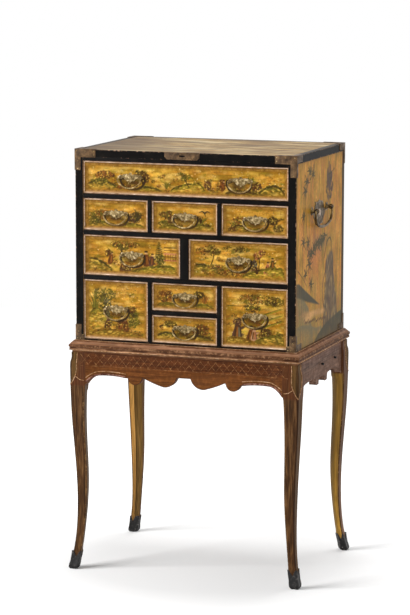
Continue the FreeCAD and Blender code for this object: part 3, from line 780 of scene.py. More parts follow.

# %% [markdown]
# Ten small scenes, each a function named for its drawer. Places are shares of the panel's width
# and height, chosen so that the weight of colour falls where such a drawer has it: round the
# handle and along the ground.
# %% Scenes on the drawers
GREENS = (OLIVE, LEAF, SAP)
DARKS = (UMBER, DEEP_GREEN, RUSSET)
AUTUMN = (RUSSET, RUST, UMBER)


def long_drawer(p):
    touches(p, 0.36, 0.66, 0.45, 0.95, (OLIVE, RUST, BORDER_BROWN), 130, 2.6, 1.4)
    bank(p, 0, 0.14, 0.22, 0.18, OLIVE, DEEP_GREEN, 0.4)
    clump(p, 0.09, 0.62, 28, 9, AUTUMN, 90)
    clump(p, 0.06, 0.36, 24, 7, (OLIVE, DEEP_GREEN, LEAF), 80)
    bank(p, 0.24, 0.38, 0.03, 0.18, SAP, DEEP_GREEN, 0.35)
    tree(p, 0.285, 0.25, 0.45, -6, DARKS, leaves=90)
    clump(p, 0.29, 0.55, 16, 11, DARKS, 80)
    clump(p, 0.21, 0.14, 34, 4, AUTUMN, 60)
    reeds(p, 0.405, 0.15, 30, 26, (OLIVE, LEAF), 9, 1.4)
    bank(p, 0.43, 0.60, 0.10, 0.32, SAP, LEAF, 0.8)
    tree(p, 0.52, 0.22, 0.5, -17, (OLIVE, LEAF), leaves=40)
    clump(p, 0.615, 0.34, 10, 10, (UMBER, PLUM, RUSSET), 60)
    figure(p, 0.69, 0.2, 30, RUSSET, RUST, 0.2)
    clump(p, 0.68, 0.38, 9, 12, AUTUMN, 50)
    bank(p, 0.70, 0.90, 0, 0.18, LEAF, DEEP_GREEN, 0.3)
    clump(p, 0.86, 0.36, 14, 9, (PLUM, RUSSET, UMBER), 80)
    clump(p, 0.83, 0.6, 14, 6, GREENS, 34)
    bank(p, 0.87, 1, 0.1, 0.34, LEAF, DEEP_GREEN, 0.6, 14)
    touches(p, 0.9, 1, 0.6, 0.85, (BORDER_BROWN, RUST), 14, 6, 2)


def upper_left_drawer(p):
    bank(p, 0, 0.5, 0.05, 0.16, LEAF, OLIVE, 0.4)
    reeds(p, 0.17, 0.16, 74, 44, (OLIVE, LEAF, UMBER), 22, 2.2)
    clump(p, 0.25, 0.5, 22, 11, (RUST, OLIVE, RUSSET), 80)
    clump(p, 0.12, 0.25, 18, 9, (DEEP_GREEN, LEAF), 60)
    clump(p, 0.84, 0.42, 18, 12, (UMBER, DEEP_GREEN, PLUM), 100)
    reeds(p, 0.87, 0.3, 34, 36, (DEEP_GREEN, UMBER), 9, 2)
    bank(p, 0.55, 1, 0.02, 0.14, SAP, OLIVE, 0.5)


def upper_middle_drawer(p):
    tree(p, 0.12, 0.2, 0.5, 12, (UMBER, OLIVE, RUSSET), leaves=90)
    clump(p, 0.18, 0.22, 26, 7, (LEAF, OLIVE, DEEP_GREEN), 80)
    bird(p, 0.84, 0.72, 17, INK)
    clump(p, 0.24, 0.45, 10, 12, DARKS, 50)
    reeds(p, 0.78, 0.2, 42, 32, (OLIVE, UMBER), 12, 1.6)
    bank(p, 0.05, 0.5, 0.04, 0.14, SAP, OLIVE, 0.5)
    bank(p, 0.52, 1, 0.06, 0.2, LEAF, OLIVE, 0.7)


def upper_right_drawer(p):
    clump(p, 0.22, 0.45, 18, 12, (RUST, RUSSET, OLIVE), 70)
    reeds(p, 0.12, 0.12, 24, 30, (UMBER, LEAF), 8, 1.8)
    bank(p, 0.04, 0.34, 0.08, 0.24, LEAF, DEEP_GREEN, 0.7)
    clump(p, 0.8, 0.52, 14, 9, (UMBER, DEEP_GREEN), 70)
    clump(p, 0.89, 0.2, 15, 7, (UMBER, PLUM, OLIVE), 70)
    clump(p, 0.1, 0.12, 12, 6, DARKS, 50)
    bank(p, 0.3, 0.8, 0.02, 0.14, SAP, OLIVE, 0.5)
    touches(p, 0.3, 0.95, 0.75, 0.95, (SAP, BORDER_BROWN), 40)


def middle_left_drawer(p):
    bank(p, 0, 0.27, 0.05, 0.36, LEAF, DEEP_GREEN, 0.1, 12)
    clump(p, 0.42, 0.86, 44, 9, (OLIVE, RUST, UMBER), 120)
    tree(p, 0.36, 0.5, 0.35, 10, (OLIVE, UMBER), leaves=50)
    figure(p, 0.255, 0.3, 34, RUSSET, RUST, 0.2)
    clump(p, 0.23, 0.58, 10, 8, (UMBER, RUSSET), 40)
    figure(p, 0.385, 0.04, 30, RUSSET, STRAW)
    clump(p, 0.43, 0.1, 18, 5, (UMBER, PLUM), 50)
    figure(p, 0.665, 0.28, 44, RUSSET, RUST, -0.1)
    figure(p, 0.72, 0.28, 36, PLUM, RUSSET, 0.1)
    pine(p, 0.80, 0.36, 0.6, (DEEP_GREEN, LEAF))
    clump(p, 0.82, 0.45, 13, 12, (DEEP_GREEN, LEAF), 80)
    terrace(p, 0.86, 1, 0.42, 0.4)
    bank(p, 0.5, 1, 0.04, 0.22, SAP, LEAF, 0.85, 12)
    touches(p, 0.02, 0.2, 0.5, 0.9, (BORDER_BROWN, RUST), 20, 7, 1.6)


def middle_right_drawer(p):
    clump(p, 0.16, 0.78, 34, 11, (OLIVE, RUST, UMBER), 110)
    tree(p, 0.20, 0.38, 0.5, 13, (OLIVE, UMBER), leaves=80)
    bank(p, 0, 0.36, 0.16, 0.22, LEAF, DEEP_GREEN, 0.12, 9)
    clump(p, 0.26, 0.3, 26, 5, (PLUM, RUST, OLIVE), 70)
    clump(p, 0.48, 0.88, 40, 8, (UMBER, OLIVE), 90)
    clump(p, 0.42, 0.12, 42, 7, (OLIVE, RUST, UMBER), 90)
    tree(p, 0.72, 0.30, 0.5, 4, (RUSSET, UMBER, ROSE), leaves=130)
    clump(p, 0.67, 0.36, 8, 16, (UMBER, GREY_GREEN, PLUM), 60)
    figure(p, 0.81, 0.2, 36, ROSE, RUST, 0.15)
    figure(p, 0.87, 0.36, 32, DEEP_GREEN, RUST, 0)
    bank(p, 0.55, 1, 0.06, 0.3, SAP, OLIVE, 0.9, 14)
    reeds(p, 0.70, 0.14, 34, 24, (UMBER, INK), 8, 1.6)
    touches(p, 0.3, 0.95, 0.55, 0.95, (BORDER_BROWN, OLIVE), 60)


def lower_left_drawer(p):
    reeds(p, 0.12, 0.40, 50, 84, (OLIVE, LEAF, SAP), 16, 2.2)
    tree(p, 0.34, 0.30, 0.55, -14, (DEEP_GREEN, LEAF, UMBER), leaves=160)
    clump(p, 0.28, 0.80, 34, 15, (LEAF, DEEP_GREEN, OLIVE), 130)
    bank(p, 0, 0.42, 0.32, 0.2, SAP, OLIVE, 0.3, 22)
    clump(p, 0.33, 0.55, 10, 24, (DEEP_GREEN, GREY_GREEN), 110)
    touches(p, 0.45, 0.9, 0.72, 0.92, (OLIVE, RUST, UMBER), 70)
    figure(p, 0.34, 0.15, 38, PLUM, RUSSET, 0.1)
    clump(p, 0.35, 0.2, 10, 9, DARKS, 50)
    figure(p, 0.585, 0.17, 38, RUSSET, RUST, 0.1)
    figure(p, 0.68, 0.14, 36, RUSSET, DEEP_GREEN, -0.2)
    clump(p, 0.62, 0.22, 20, 10, (RUSSET, UMBER, RUST), 60)
    pine(p, 0.83, 0.2, 0.34, (DEEP_GREEN, LEAF))
    clump(p, 0.80, 0.33, 15, 20, (LEAF, DEEP_GREEN, SAP), 110)
    clump(p, 0.75, 0.52, 16, 8, (UMBER, RUSSET), 50)
    bank(p, 0.05, 0.95, 0.03, 0.1, OLIVE, BORDER_BROWN, 0.3, 12)


def lower_right_drawer(p):
    p.stroke([p.at(0.01, 0.715), p.at(0.2, 0.71), p.at(0.42, 0.725)], 1.6, UMBER, 0.9, 0.7)
    clump(p, 0.5, 0.85, 50, 12, (UMBER, OLIVE, RUST), 150)
    clump(p, 0.84, 0.82, 28, 11, (OLIVE, UMBER), 90)
    clump(p, 0.44, 0.68, 26, 8, (OLIVE, UMBER), 60)
    for v in (0.36, 0.47, 0.60):
        p.stroke([p.at(0.62, v - 0.05), p.at(0.76, v), p.at(0.97, v + 0.09)], 4.2, SAP, 0.75)
        p.stroke([p.at(0.64, v - 0.04), p.at(0.76, v + 0.02), p.at(0.95, v + 0.1)], 1.8, DEEP_GREEN, 0.8)
    figure(p, 0.20, 0.13, 62, PLUM, GREY_GREEN, 0.05)
    clump(p, 0.2, 0.4, 12, 12, (PLUM, UMBER), 40)
    figure(p, 0.42, 0.06, 50, RUSSET, UMBER, 0.1)
    figure(p, 0.49, 0.1, 40, "#a87c58", ROSE, 0)
    clump(p, 0.68, 0.2, 16, 14, (UMBER, DEEP_GREEN, RUSSET), 100)
    clump(p, 0.92, 0.14, 12, 14, (OLIVE, DEEP_GREEN), 60)
    bank(p, 0.5, 1, 0.04, 0.15, LEAF, OLIVE, 0.8, 14)
    bank(p, 0, 0.5, 0.02, 0.1, OLIVE, BORDER_BROWN, 0.3, 10)
    touches(p, 0.55, 0.98, 0.55, 0.75, (OLIVE, SAP), 30)


def small_upper_drawer(p):
    clump(p, 0.14, 0.5, 22, 15, (RUST, OLIVE, RUSSET), 110)
    tree(p, 0.16, 0.15, 0.55, 5, (RUST, UMBER), leaves=70)
    bank(p, 0, 0.4, 0.04, 0.16, LEAF, OLIVE, 0.5)
    reeds(p, 0.84, 0.2, 34, 32, (UMBER, RUST, OLIVE), 12, 1.8)
    clump(p, 0.74, 0.68, 14, 8, (UMBER, DEEP_GREEN), 50)
    bank(p, 0.62, 1, 0.05, 0.18, SAP, LEAF, 0.5)


def small_lower_drawer(p):
    p.stroke([p.at(0.06, 0.62), p.at(0.17, 0.76), p.at(0.34, 0.84)], 5.4, UMBER, 0.8)
    p.stroke([p.at(0.16, 0.9), p.at(0.22, 0.78), p.at(0.36, 0.72)], 3.2, DEEP_GREEN, 0.8)
    clump(p, 0.24, 0.78, 20, 7, (UMBER, OLIVE), 60)
    bank(p, 0.02, 0.36, 0.18, 0.18, LEAF, DEEP_GREEN, 0.5)
    clump(p, 0.78, 0.58, 24, 13, (RUST, UMBER, OLIVE), 110)
    tree(p, 0.75, 0.2, 0.42, 7, (UMBER, RUSSET), leaves=60)
    bank(p, 0.52, 1, 0.08, 0.2, LEAF, DEEP_GREEN, 0.35)


SCENES = {paint.__name__: paint for paint in (
    long_drawer, upper_left_drawer, upper_middle_drawer, upper_right_drawer, middle_left_drawer,
    middle_right_drawer, lower_left_drawer, lower_right_drawer, small_upper_drawer, small_lower_drawer)}
print("scenes:", len(SCENES))

# %% [markdown]
# A drawer front is a thick board with its moulding worked in one piece: a rounded lip at the
# edge, then a hollow cove that runs down to the sunk, painted panel.
# %% Drawer fronts
LIP_WIDTH = 3
COVE_WIDTH = 9
PANEL_DEPTH = 5
DRAWER_CELL = 1.5
LIP, COVE, BACK = 1, 2, 3


def cove_and_lip(thickness):
    """Loops from the panel's border, up the hollow, over the lip and down to the back."""
    frame_width = LIP_WIDTH + COVE_WIDTH
    rise = PANEL_DEPTH - 0.9
    run = frame_width - 3.4
    loops = [(frame_width, PANEL_DEPTH, 0)]
    for k in range(1, 7):
        angle = pi / 2 * k / 6
        loops.append((frame_width - run * sin(angle), PANEL_DEPTH - rise * (1 - cos(angle)), COVE))
    for inset, depth in ((2.9, 0.25), (2.3, 0), (1.2, 0), (0.5, 0.3), (0, 1.2)):
        loops.append((inset, depth, LIP))
    loops.append((0, thickness, BACK))
    return loops


for seed, name in enumerate(drawers, 11):
    low, high = box_mm(name + "_front")
    width, thickness, height = high - low
    border = 2 * (LIP_WIDTH + COVE_WIDTH)
    painting = Painting(width - border, height - border, DRAWER_CELL, seed)
    underpainting(painting)
    undergrowth(painting)
    SCENES[name](painting)
    # Painted shadow of the handles on the panel.
    painted_handle_shadow(painting)
    border_shade(painting)
    middle = ((low[0] + high[0]) / 2, low[1], (low[2] + high[2]) / 2)
    board = framed_board(painting, middle, (1, 0, 0), (0, 0, 1), width, height,
                         cove_and_lip(thickness), BACK)
    new_piece(name + "_painted_front", board, [drawer_lacquer, worn_lip, cove_lacquer, wood_across],
              name, [name + "_front"])
    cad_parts[name + "_box"].data.materials.clear()
    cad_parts[name + "_box"].data.materials.append(wood_deep)
print("painted fronts:", len(drawers))

# %% [markdown]
# Everything black on the cabinet is lampblack in shellac over gesso: it is nearly black, brown
# where it has worn thin, and chipped through to pinkish gesso along the arrises. The "arris"
# value on the mesh says where an edge is; noise decides which bits of it have gone.
# %% Black lacquer


def lacquer_rows(chip_colour, chip_from=0.5):
    """Rows that end in a lacquer colour and a gloss."""
    return [
        ("cloud", "TexNoise", ["coords.Object", per_metre(40), 5]),
        ("ground", "ValToRGB", ["cloud.Fac"], [(0.3, "#060505"), (0.58, "#0e0c0a"), (0.8, "#1c1610")]),
        ("chips", "TexNoise", ["coords.Object", per_metre(9), 8, 0.78]),
        ("arris", "Attribute", {}, {"attribute_name": "arris"}),
        ("chipped", "MapRange", ["chips.Fac", chip_from, chip_from + 0.06]),
        ("bare", "Math", ["chipped.Result", "arris.Fac"], TIMES),
        ("lacquered", "Mix", ["bare.Value", "ground.Color", chip_colour], RGBA),
        ("gloss", "MapRange", ["chips.Fac", 0, 1, 0.3, 0.55]),
    ]


BLACK_SHINE = 0.05
black_lacquer = material("lampblack_lacquer_chipped_at_the_arris", lacquer_rows("#b28e74", 0.53) + [
    ("lacquer", "BsdfPrincipled",
     {"Base Color": "lacquered.Result", "Roughness": "gloss.Result", "Specular IOR Level": BLACK_SHINE}),
])
# The rails and partitions are lacquered only where they show, on their front edges.
LACQUER_DEPTH = 2
divider_finish = material("lacquered_front_edge_on_bare_rails", lacquer_rows("#8a6a58", 0.56) + [
    stretched("along", "X", 7, 16),
    ("grain", "TexNoise", ["along.Vector", 1, 7]),
    ("wood", "ValToRGB", ["grain.Fac"], [(0.3, "#7b5531"), (0.48, "#9a7348"), (0.7, "#b8935f")]),
    ("place", "SeparateXYZ", {"Vector": "coords.Object"}),
    ("behind", "MapRange", ["place.Y", (FRONT + LACQUER_DEPTH) * MM, (FRONT + LACQUER_DEPTH + 1) * MM]),
    ("colour", "Mix", ["behind.Result", "lacquered.Result", "wood.Color"], RGBA),
    ("rail", "BsdfPrincipled",
     {"Base Color": "colour.Result", "Roughness": "gloss.Result", "Specular IOR Level": BLACK_SHINE}),
])
print("black lacquers:", black_lacquer.name, divider_finish.name)

# %% [markdown]
# A piece that keeps its plain shape still needs its arrises taken off, because no real edge is
# sharp and it is the edge that catches the light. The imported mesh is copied, its flat faces are
# joined, and a narrow bevel runs along each arris. The bevel's faces carry the arris value.
# %% Softened copies


def softened(node, name, width, finish, least_angle=35, mesh=None):
    """Stand a copy of the node's mesh, or the mesh given, in its place with each arris rounded."""
    work = bmesh.new()
    work.from_mesh(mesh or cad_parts[node].data)
    bmesh.ops.remove_doubles(work, verts=work.verts, dist=0.01 * MM)
    bmesh.ops.dissolve_limit(work, angle_limit=radians(0.5), verts=work.verts, edges=work.edges)
    layer = work.faces.layers.float.new("arris")
    arrises = [edge for edge in work.edges if edge.calc_face_angle(0) > radians(least_angle)]
    made = bmesh.ops.bevel(work, geom=arrises, offset=width * MM, segments=2, profile=0.5,
                           affect="EDGES", clamp_overlap=True)
    for face in made["faces"]:
        face[layer] = 1
    bmesh.ops.recalc_face_normals(work, faces=work.faces)
    for face in work.faces:
        face.smooth = True
        face.material_index = 0
    mesh = bpy.data.meshes.new(name)
    work.to_mesh(mesh)
    work.free()
    mesh.materials.append(finish)
    mesh.set_sharp_from_angle(angle=radians(50))
    placed(name, mesh, ROOT, [node])


softened("drawer_dividers", "rails_and_partitions", 0.9, divider_finish)
softened("carcass_bottom", "bottom_board", 0.6, divider_finish)
softened("carcass_back", "back_board", 0.8, black_lacquer)
print("softened boards:", 3)

# %% [markdown]
# Each side is one tall picture: bamboo on the front half, a crane above a tall rock on the
# back half, a low bank across the foot, all in grey-green on the ochre. A black border runs
# down the back edge. The left side is the same design turned round, as such pairs are.
# %% Painted sides
SIDE_CELL = 2
BLACK_BORDER = 24
ROCK_DARK = "#3b382a"
ROCK_MAUVE = "#553e34"
ROCK_GREY = "#5e583e"
LEAF_GREY = "#3d3819"
PINKISH = "#c0743f"


def spray(p, x, y, reach, turn, colour=LEAF_GREY, count=9):
    """Bamboo leaves that fan out of one joint of the cane."""
    for k in range(count):
        angle = turn + (k / (count - 1) - 0.5) * 5.2 + p.vary(-0.25, 0.25)
        long = reach * p.vary(0.5, 1)
        bend = (x + long * 0.5 * cos(angle - 0.14), y + long * 0.5 * sin(angle - 0.14))
        p.stroke([(x, y), bend, (x + long * cos(angle), y + long * sin(angle))], 5.2, colour, 0.95, 0.15)


def slope(p, crest, fade, colour, strength, foot=()):
    """A hill side: dark along its crest, given by points, and fading below it or cut off by its foot."""
    xs, ys = zip(*sorted(crest))
    foot_xs, foot_ys = zip(*sorted(foot)) if foot else (xs, [min(ys) - 999] * len(xs))
    p.wash(lambda x, y: np.clip((x - xs[0]) / 8, 0, 1) * np.clip((xs[-1] - x) / 8, 0, 1)
           * np.clip((np.interp(x, xs, ys) - y) / 5, 0, 1)
           * np.clip((y - np.interp(x, foot_xs, foot_ys)) / 7, 0, 1)
           * np.exp(-np.maximum(np.interp(x, xs, ys) - y, 0) / fade), colour, strength)


def rock(p, levels, colours, streaks):
    """A craggy column given by (height, left edge, right edge): washes, then furrows down it."""
    ys, lefts, rights = zip(*sorted(levels))
    for tints, count, long, wide, force in (
            (colours, 2 * streaks, 26, 9, 0.5),
            ((ROCK_DARK, "#4a3526", "#54402e", "#b49660"), streaks, 18, 4, 0.65)):
        for _ in range(count):
            y = p.vary(ys[0], ys[-1])
            x = p.vary(float(np.interp(y, ys, lefts)), float(np.interp(y, ys, rights)))
            p.dab(x, y, long * p.vary(0.5, 1.2), wide * p.vary(0.5, 1.2),
                  pi / 2 + p.vary(-0.25, 0.25), p.one_of(tints), force, 0.8)
    for k in range(len(ys) - 1):
        for side in (lefts, rights):
            p.stroke([(side[k], ys[k]), (side[k + 1], ys[k + 1])], 4, "#4a3a28", 0.35, 0.9)


def crane(p, x, y, size, turn=1):
    """A heavy bird that drops down with its wings up, long in the neck and leg."""
    for lean, long, wide in ((-0.4, 0.75, 0.26), (-0.1, 1, 0.3), (0.25, 0.85, 0.3), (0.5, 0.5, 0.26)):
        p.stroke([(x, y - size * 0.1), (x + turn * size * lean * 0.7, y + size * 0.4),
                  (x + turn * size * lean * 0.6, y + size * long)], size * wide, ROCK_MAUVE, 0.75, 0.3)
    for _ in range(60):
        level = p.vary(-0.5, 0.6)
        p.dab(x + p.vary(-0.6, 0.6) * (0.9 - abs(level)) * size, y + level * size, size * 0.12,
              size * 0.06, p.vary(0.8, 2.2), p.one_of((ROCK_MAUVE, ROCK_DARK, "#4a3022")), 0.8)
    p.stroke([(x, y + size * 0.5), (x + turn * size * 0.34, y + size * 0.56),
              (x + turn * size * 0.72, y + size * 0.68)], size * 0.05, LEAF_GREY, 0.8, 0.6)
    for step in (-0.16, 0.06):
        p.stroke([(x, y - size * 0.4), (x + turn * size * step, y - size * 0.66),
                  (x + turn * size * (step - 0.16), y - size * 0.86)], size * 0.06, LEAF_GREY, 0.8, 0.8)


def scene_side(p, flip):
    """Places are from the middle of the board, with the front edge at -x when flip is 1."""

    def path(*points):
        """The points as they lie on this side."""
        return [(flip * x, y) for x, y in points]

    touches(p, 0, 1, 0, 1, ("#87742a", "#c08a34", PINKISH, "#d3a247", "#92692a"),
            260, 9, 34, 0.5, 0.9, 0.06)
    p.wash(lambda x, y: np.exp(-((flip * x + 70) ** 2 + (y + 20) ** 2) / 3600), PINKISH, 0.5)
    p.wash(lambda x, y: np.clip((-y - 60) / 260, 0, 1), "#7d7048", 0.45)
    for cane in (((-200, -290), (-188, -150), (-176, 20), (-150, 170), (-96, 270)),
                 ((-226, -40), (-180, -66), (-138, -96)), ((-120, -60), (-128, 30), (-150, 110)),
                 ((-70, 270), (-92, 230), (-140, 214))):
        p.stroke(path(*cane), 3, LEAF_GREY, 0.6, 0.5)
    for x, y, reach, turn in (
            (-84, 234, 38, 0.2), (-142, 217, 36, 2.4), (-112, 244, 28, 1.2), (-156, 190, 32, -1.6),
            (-172, 116, 32, 2.8), (-170, 38, 32, 2), (-112, -34, 36, 0.8), (-50, 140, 24, 0.8),
            (-96, -94, 36, -1.3), (-128, 34, 30, 0.3), (-150, -60, 28, 2.4)):
        spray(p, flip * x, y, reach, turn if flip > 0 else pi - turn)
    p.wash(lambda x, y: np.exp(-(((flip * x - 10) / 90) ** 2 + ((y - 22) / 26) ** 2)), ROCK_GREY, 0.45)
    p.stroke(path((40, 30), (-30, 14), (-78, 4), (-136, -8)), 3.6, LEAF_GREY, 0.85, 0.7)
    for k in range(26):
        spray(p, flip * (42 - 6.6 * k + p.vary(-8, 8)), 32 - 1.5 * k + p.vary(-15, 12), 24,
              p.vary(-3, 3), count=4)
    crane(p, flip * 86, 184, 72, flip)
    p.stroke(path((40, -30), (62, 10), (92, 24), (112, 6), (104, -40)), 4.4, LEAF_GREY, 0.8, 0.7)
    rock(p, [(y, *sorted((flip * a, flip * b))) for y, a, b in
             ((-32, 72, 122), (-70, 52, 132), (-100, 62, 128), (-140, 44, 152), (-200, 34, 168),
              (-250, 30, 186), (-284, 10, 204))], (ROCK_MAUVE, "#4f443c", "#86704a"), 190)
    for ring in (((58, -66), (24, -110), (22, -150), (40, -190)), ((44, -110), (56, -170), (40, -230)),
                 ((96, -90), (110, -150), (96, -210), (120, -262))):
        p.stroke(path(*ring), 5, "#46362a", 0.5, 0.6)
    slope(p, path((-246, -98), (-170, -128), (-120, -160), (-70, -250)), 90, "#75694a", 0.7)
    slope(p, path((-246, -74), (-212, -78), (-150, -106), (-84, -134), (-18, -162), (0, -168)), 300,
          "#3a3a2c", 0.9, path((-246, -118), (-130, -148), (-10, -172)))
    for x, y, long in ((-150, -180, 60), (-90, -186, 70), (-30, -190, 60), (-120, -196, 60),
                       (20, -194, 40)):
        p.dab(flip * x, y, long, 12, 0, "#c4935a", 0.75, 0.9)
    for k in range(22):
        p.dab(flip * (-160 + 10 * k), -200 - 0.9 * k + p.vary(-5, 5), 7, 4, 0.4, "#54331e", 0.85)
    slope(p, path((-246, -206), (-190, -206), (-110, -216), (-40, -234), (20, -236)), 18, "#71674c", 0.8)
    slope(p, path((-70, -281), (-20, -256), (60, -232), (150, -222), (246, -214)), 200, "#3c3d30", 0.92)
    p.wash(lambda x, y: np.clip((flip * x - (p.width / 2 - BLACK_BORDER)) / 1.5, 0, 1), "#120f0c", 0.98)


def edge_loops(depth):
    """Loops from a flat face over a rounded arris to the back; the edges take their own finish."""
    return [(2, 0, 0)] + [(inset, out, 1) for inset, out in (
        (1, 0.1), (0.35, 0.4), (0, 1.1), (0, 2.6), (0, depth))]


SIDES = {"carcass_right_side": 1, "carcass_left_side": -1}
for seed, (node, sign) in enumerate(SIDES.items(), 31):
    low, high = box_mm(node)
    thickness, depth, height = high - low
    painting = Painting(depth - 4, height - 4, SIDE_CELL, seed)
    scene_side(painting, sign)
    border_shade(painting, 0.25, 9)
    middle = (sign * HALF_WIDTH, 0, (low[2] + high[2]) / 2)
    board = framed_board(painting, middle, (0, sign, 0), (0, 0, 1), depth, height, edge_loops(thickness), 2)
    new_piece(node.replace("carcass", "painted"), board, [side_lacquer, black_lacquer, wood_across], ROOT,
              [node])
print("painted sides:", len(SIDES))

# %% [markdown]
# The top has faded to a dry tan with long streaks, and a thin black border is left at its back
# and ends. Its edges are black, chipped along the front where hands and keys have knocked it.
# %% Top board
TOP_CELL = 5
TOP_BORDER = 22
low, high = box_mm("carcass_top")
width, depth, thickness = high - low
painting = Painting(width - 4, depth - 4, TOP_CELL, 41)
touches(painting, 0, 1, 0, 1, ("#6f532c", "#ead2a0", "#8a683a"), 60, 100, 24, 0.8, 0.9, 0.1)
touches(painting, 0, 1, 0, 1, ("#5f4524", "#c9a566", "#8f6a36", "#e6cc9a", "#4f3a20"),
        230, 50, 8, 0.7, 0.9, 0.04)
painting.wash(lambda x, y: np.clip((-x - 20) / 330 - y / 900, 0, 1), "#5c4425", 0.65)
painting.wash(lambda x, y: np.maximum(np.clip((y - (depth / 2 - TOP_BORDER)) / 3, 0, 1),
                                      np.clip((abs(x) - (width / 2 - TOP_BORDER)) / 3, 0, 1)),
              "#1a1511", 0.95)
board = framed_board(painting, (0, 0, high[2]), (1, 0, 0), (0, 1, 0), width, depth,
                     edge_loops(thickness), 2)
new_piece("top_board", board, [top_lacquer, black_lacquer, wood_across], ROOT, ["carcass_top"])
print("top board", round(width), "by", round(depth), "mm")

# %% [markdown]
# Rods, studs and beads follow rules, so Geometry Nodes makes them. One rule lays a round rod
# along a line and lets it swell in the middle; the other sets a domed head on every point of a
# mesh and turns it to face the way that the point's "facing" value says.
# %% Rules for rods and heads


def rule(name, inputs, rows):
    """A Geometry Nodes tree with those inputs, laid row by row."""
    tree = bpy.data.node_groups.new(name, "GeometryNodeTree")
    tree.interface.new_socket("Geometry", in_out="INPUT", socket_type="NodeSocketGeometry")
    for key, kind in inputs.items():
        tree.interface.new_socket(key, in_out="INPUT", socket_type="NodeSocket" + kind)
    tree.interface.new_socket("Geometry", in_out="OUTPUT", socket_type="NodeSocketGeometry")
    for row in [("given", "NodeGroupInput"), *rows]:
        add_node(tree, *row)
    return tree


def grown(name, tree, base, values):
    """The plain mesh that a rule makes of a base mesh."""
    holder = bpy.data.objects.new(name, base)
    bpy.context.scene.collection.objects.link(holder)
    modifier = holder.modifiers.new("rule", "NODES")
    modifier.node_group = tree
    for item in tree.interface.items_tree:
        if item.in_out == "INPUT" and item.name in values:
            modifier[item.identifier] = values[item.name]
    holder.update_tag()
    graph = bpy.context.evaluated_depsgraph_get()
    made = bpy.data.meshes.new_from_object(holder.evaluated_get(graph))
    bpy.data.objects.remove(holder)
    made.name = name
    return made


rod_rule = rule("rod_along_path", {"Middle Radius": "Float", "End Radius": "Float", "Sides": "Int",
                                   "Material": "Material"}, [
    ("line", "GeometryNodeMeshToCurve", {"Mesh": "given.Geometry"}),
    ("share", "GeometryNodeSplineParameter"),
    ("half_turn", "Math", ["share.Factor", pi], TIMES),
    ("swell", "Math", ["half_turn.Value"], {"operation": "SINE"}),
    ("radius", "MapRange", ["swell.Value", 0, 1, "given.End Radius", "given.Middle Radius"]),
    ("ring", "GeometryNodeCurvePrimitiveCircle", {"Resolution": "given.Sides", "Radius": 1}),
    ("round_rod", "GeometryNodeCurveToMesh",
     {"Curve": "line.Curve", "Profile Curve": "ring.Curve", "Scale": "radius.Result", "Fill Caps": True}),
    ("smooth", "GeometryNodeSetShadeSmooth", {"Geometry": "round_rod.Mesh"}),
    ("finished", "GeometryNodeSetMaterial", {"Geometry": "smooth.Geometry", "Material": "given.Material"}),
    ("result", "NodeGroupOutput", {"Geometry": "finished.Geometry"}),
])
head_rule = rule("domed_heads_on_points", {"Radius": "Float", "Height": "Float", "Sides": "Int",
                                           "Material": "Material"}, [
    ("facing", "GeometryNodeInputNamedAttribute", {"Name": "facing"}, {"data_type": "FLOAT_VECTOR"}),
    ("turned", "FunctionNodeAlignRotationToVector", {"Vector": "facing.Attribute"}, {"axis": "Z"}),
    ("ball", "GeometryNodeMeshUVSphere", {"Segments": "given.Sides", "Rings": 5, "Radius": 1}),
    ("smooth", "GeometryNodeSetShadeSmooth", {"Geometry": "ball.Mesh"}),
    ("dome", "CombineXYZ", {"X": "given.Radius", "Y": "given.Radius", "Z": "given.Height"}),
    ("heads", "GeometryNodeInstanceOnPoints", {"Points": "given.Geometry", "Instance": "smooth.Geometry",
                                               "Rotation": "turned.Rotation", "Scale": "dome.Vector"}),
    ("single", "GeometryNodeRealizeInstances", {"Geometry": "heads.Instances"}),
    ("finished", "GeometryNodeSetMaterial", {"Geometry": "single.Geometry", "Material": "given.Material"}),
    ("result", "NodeGroupOutput", {"Geometry": "finished.Geometry"}),
])


def lines_mesh(name, lines):
    """Lines, each a list of points in millimetres, as one mesh of edges."""
    points, edges = [], []
    for line in lines:
        edges.extend((len(points) + k, len(points) + k + 1) for k in range(len(line) - 1))
        points.extend(tuple(np.array(point) * MM) for point in line)
    mesh = bpy.data.meshes.new(name + "_lines")
    mesh.from_pydata(points, edges, [])
    return mesh


def rod_piece(name, lines, radius, finish, sides=8, end=None, body=ROOT, replaces=()):
    """Round rods along the lines, in millimetres. They may thin to another radius at their ends."""
    placed(name, grown(name, rod_rule, lines_mesh(name, lines), {
        "Middle Radius": radius * MM, "End Radius": (end or radius) * MM, "Sides": sides,
        "Material": finish}), body, replaces)


def head_piece(name, points, facings, radius, height, finish):
    """Domed heads on the points, each facing its own way."""
    mesh = lines_mesh(name, [points])
    layer = mesh.attributes.new("facing", "FLOAT_VECTOR", "POINT")
    layer.data.foreach_set("vector", np.array(facings, np.float32).ravel())
    placed(name, grown(name, head_rule, mesh, {
        "Radius": radius * MM, "Height": height * MM, "Sides": 8, "Material": finish}))


print("rules:", rod_rule.name, head_rule.name)
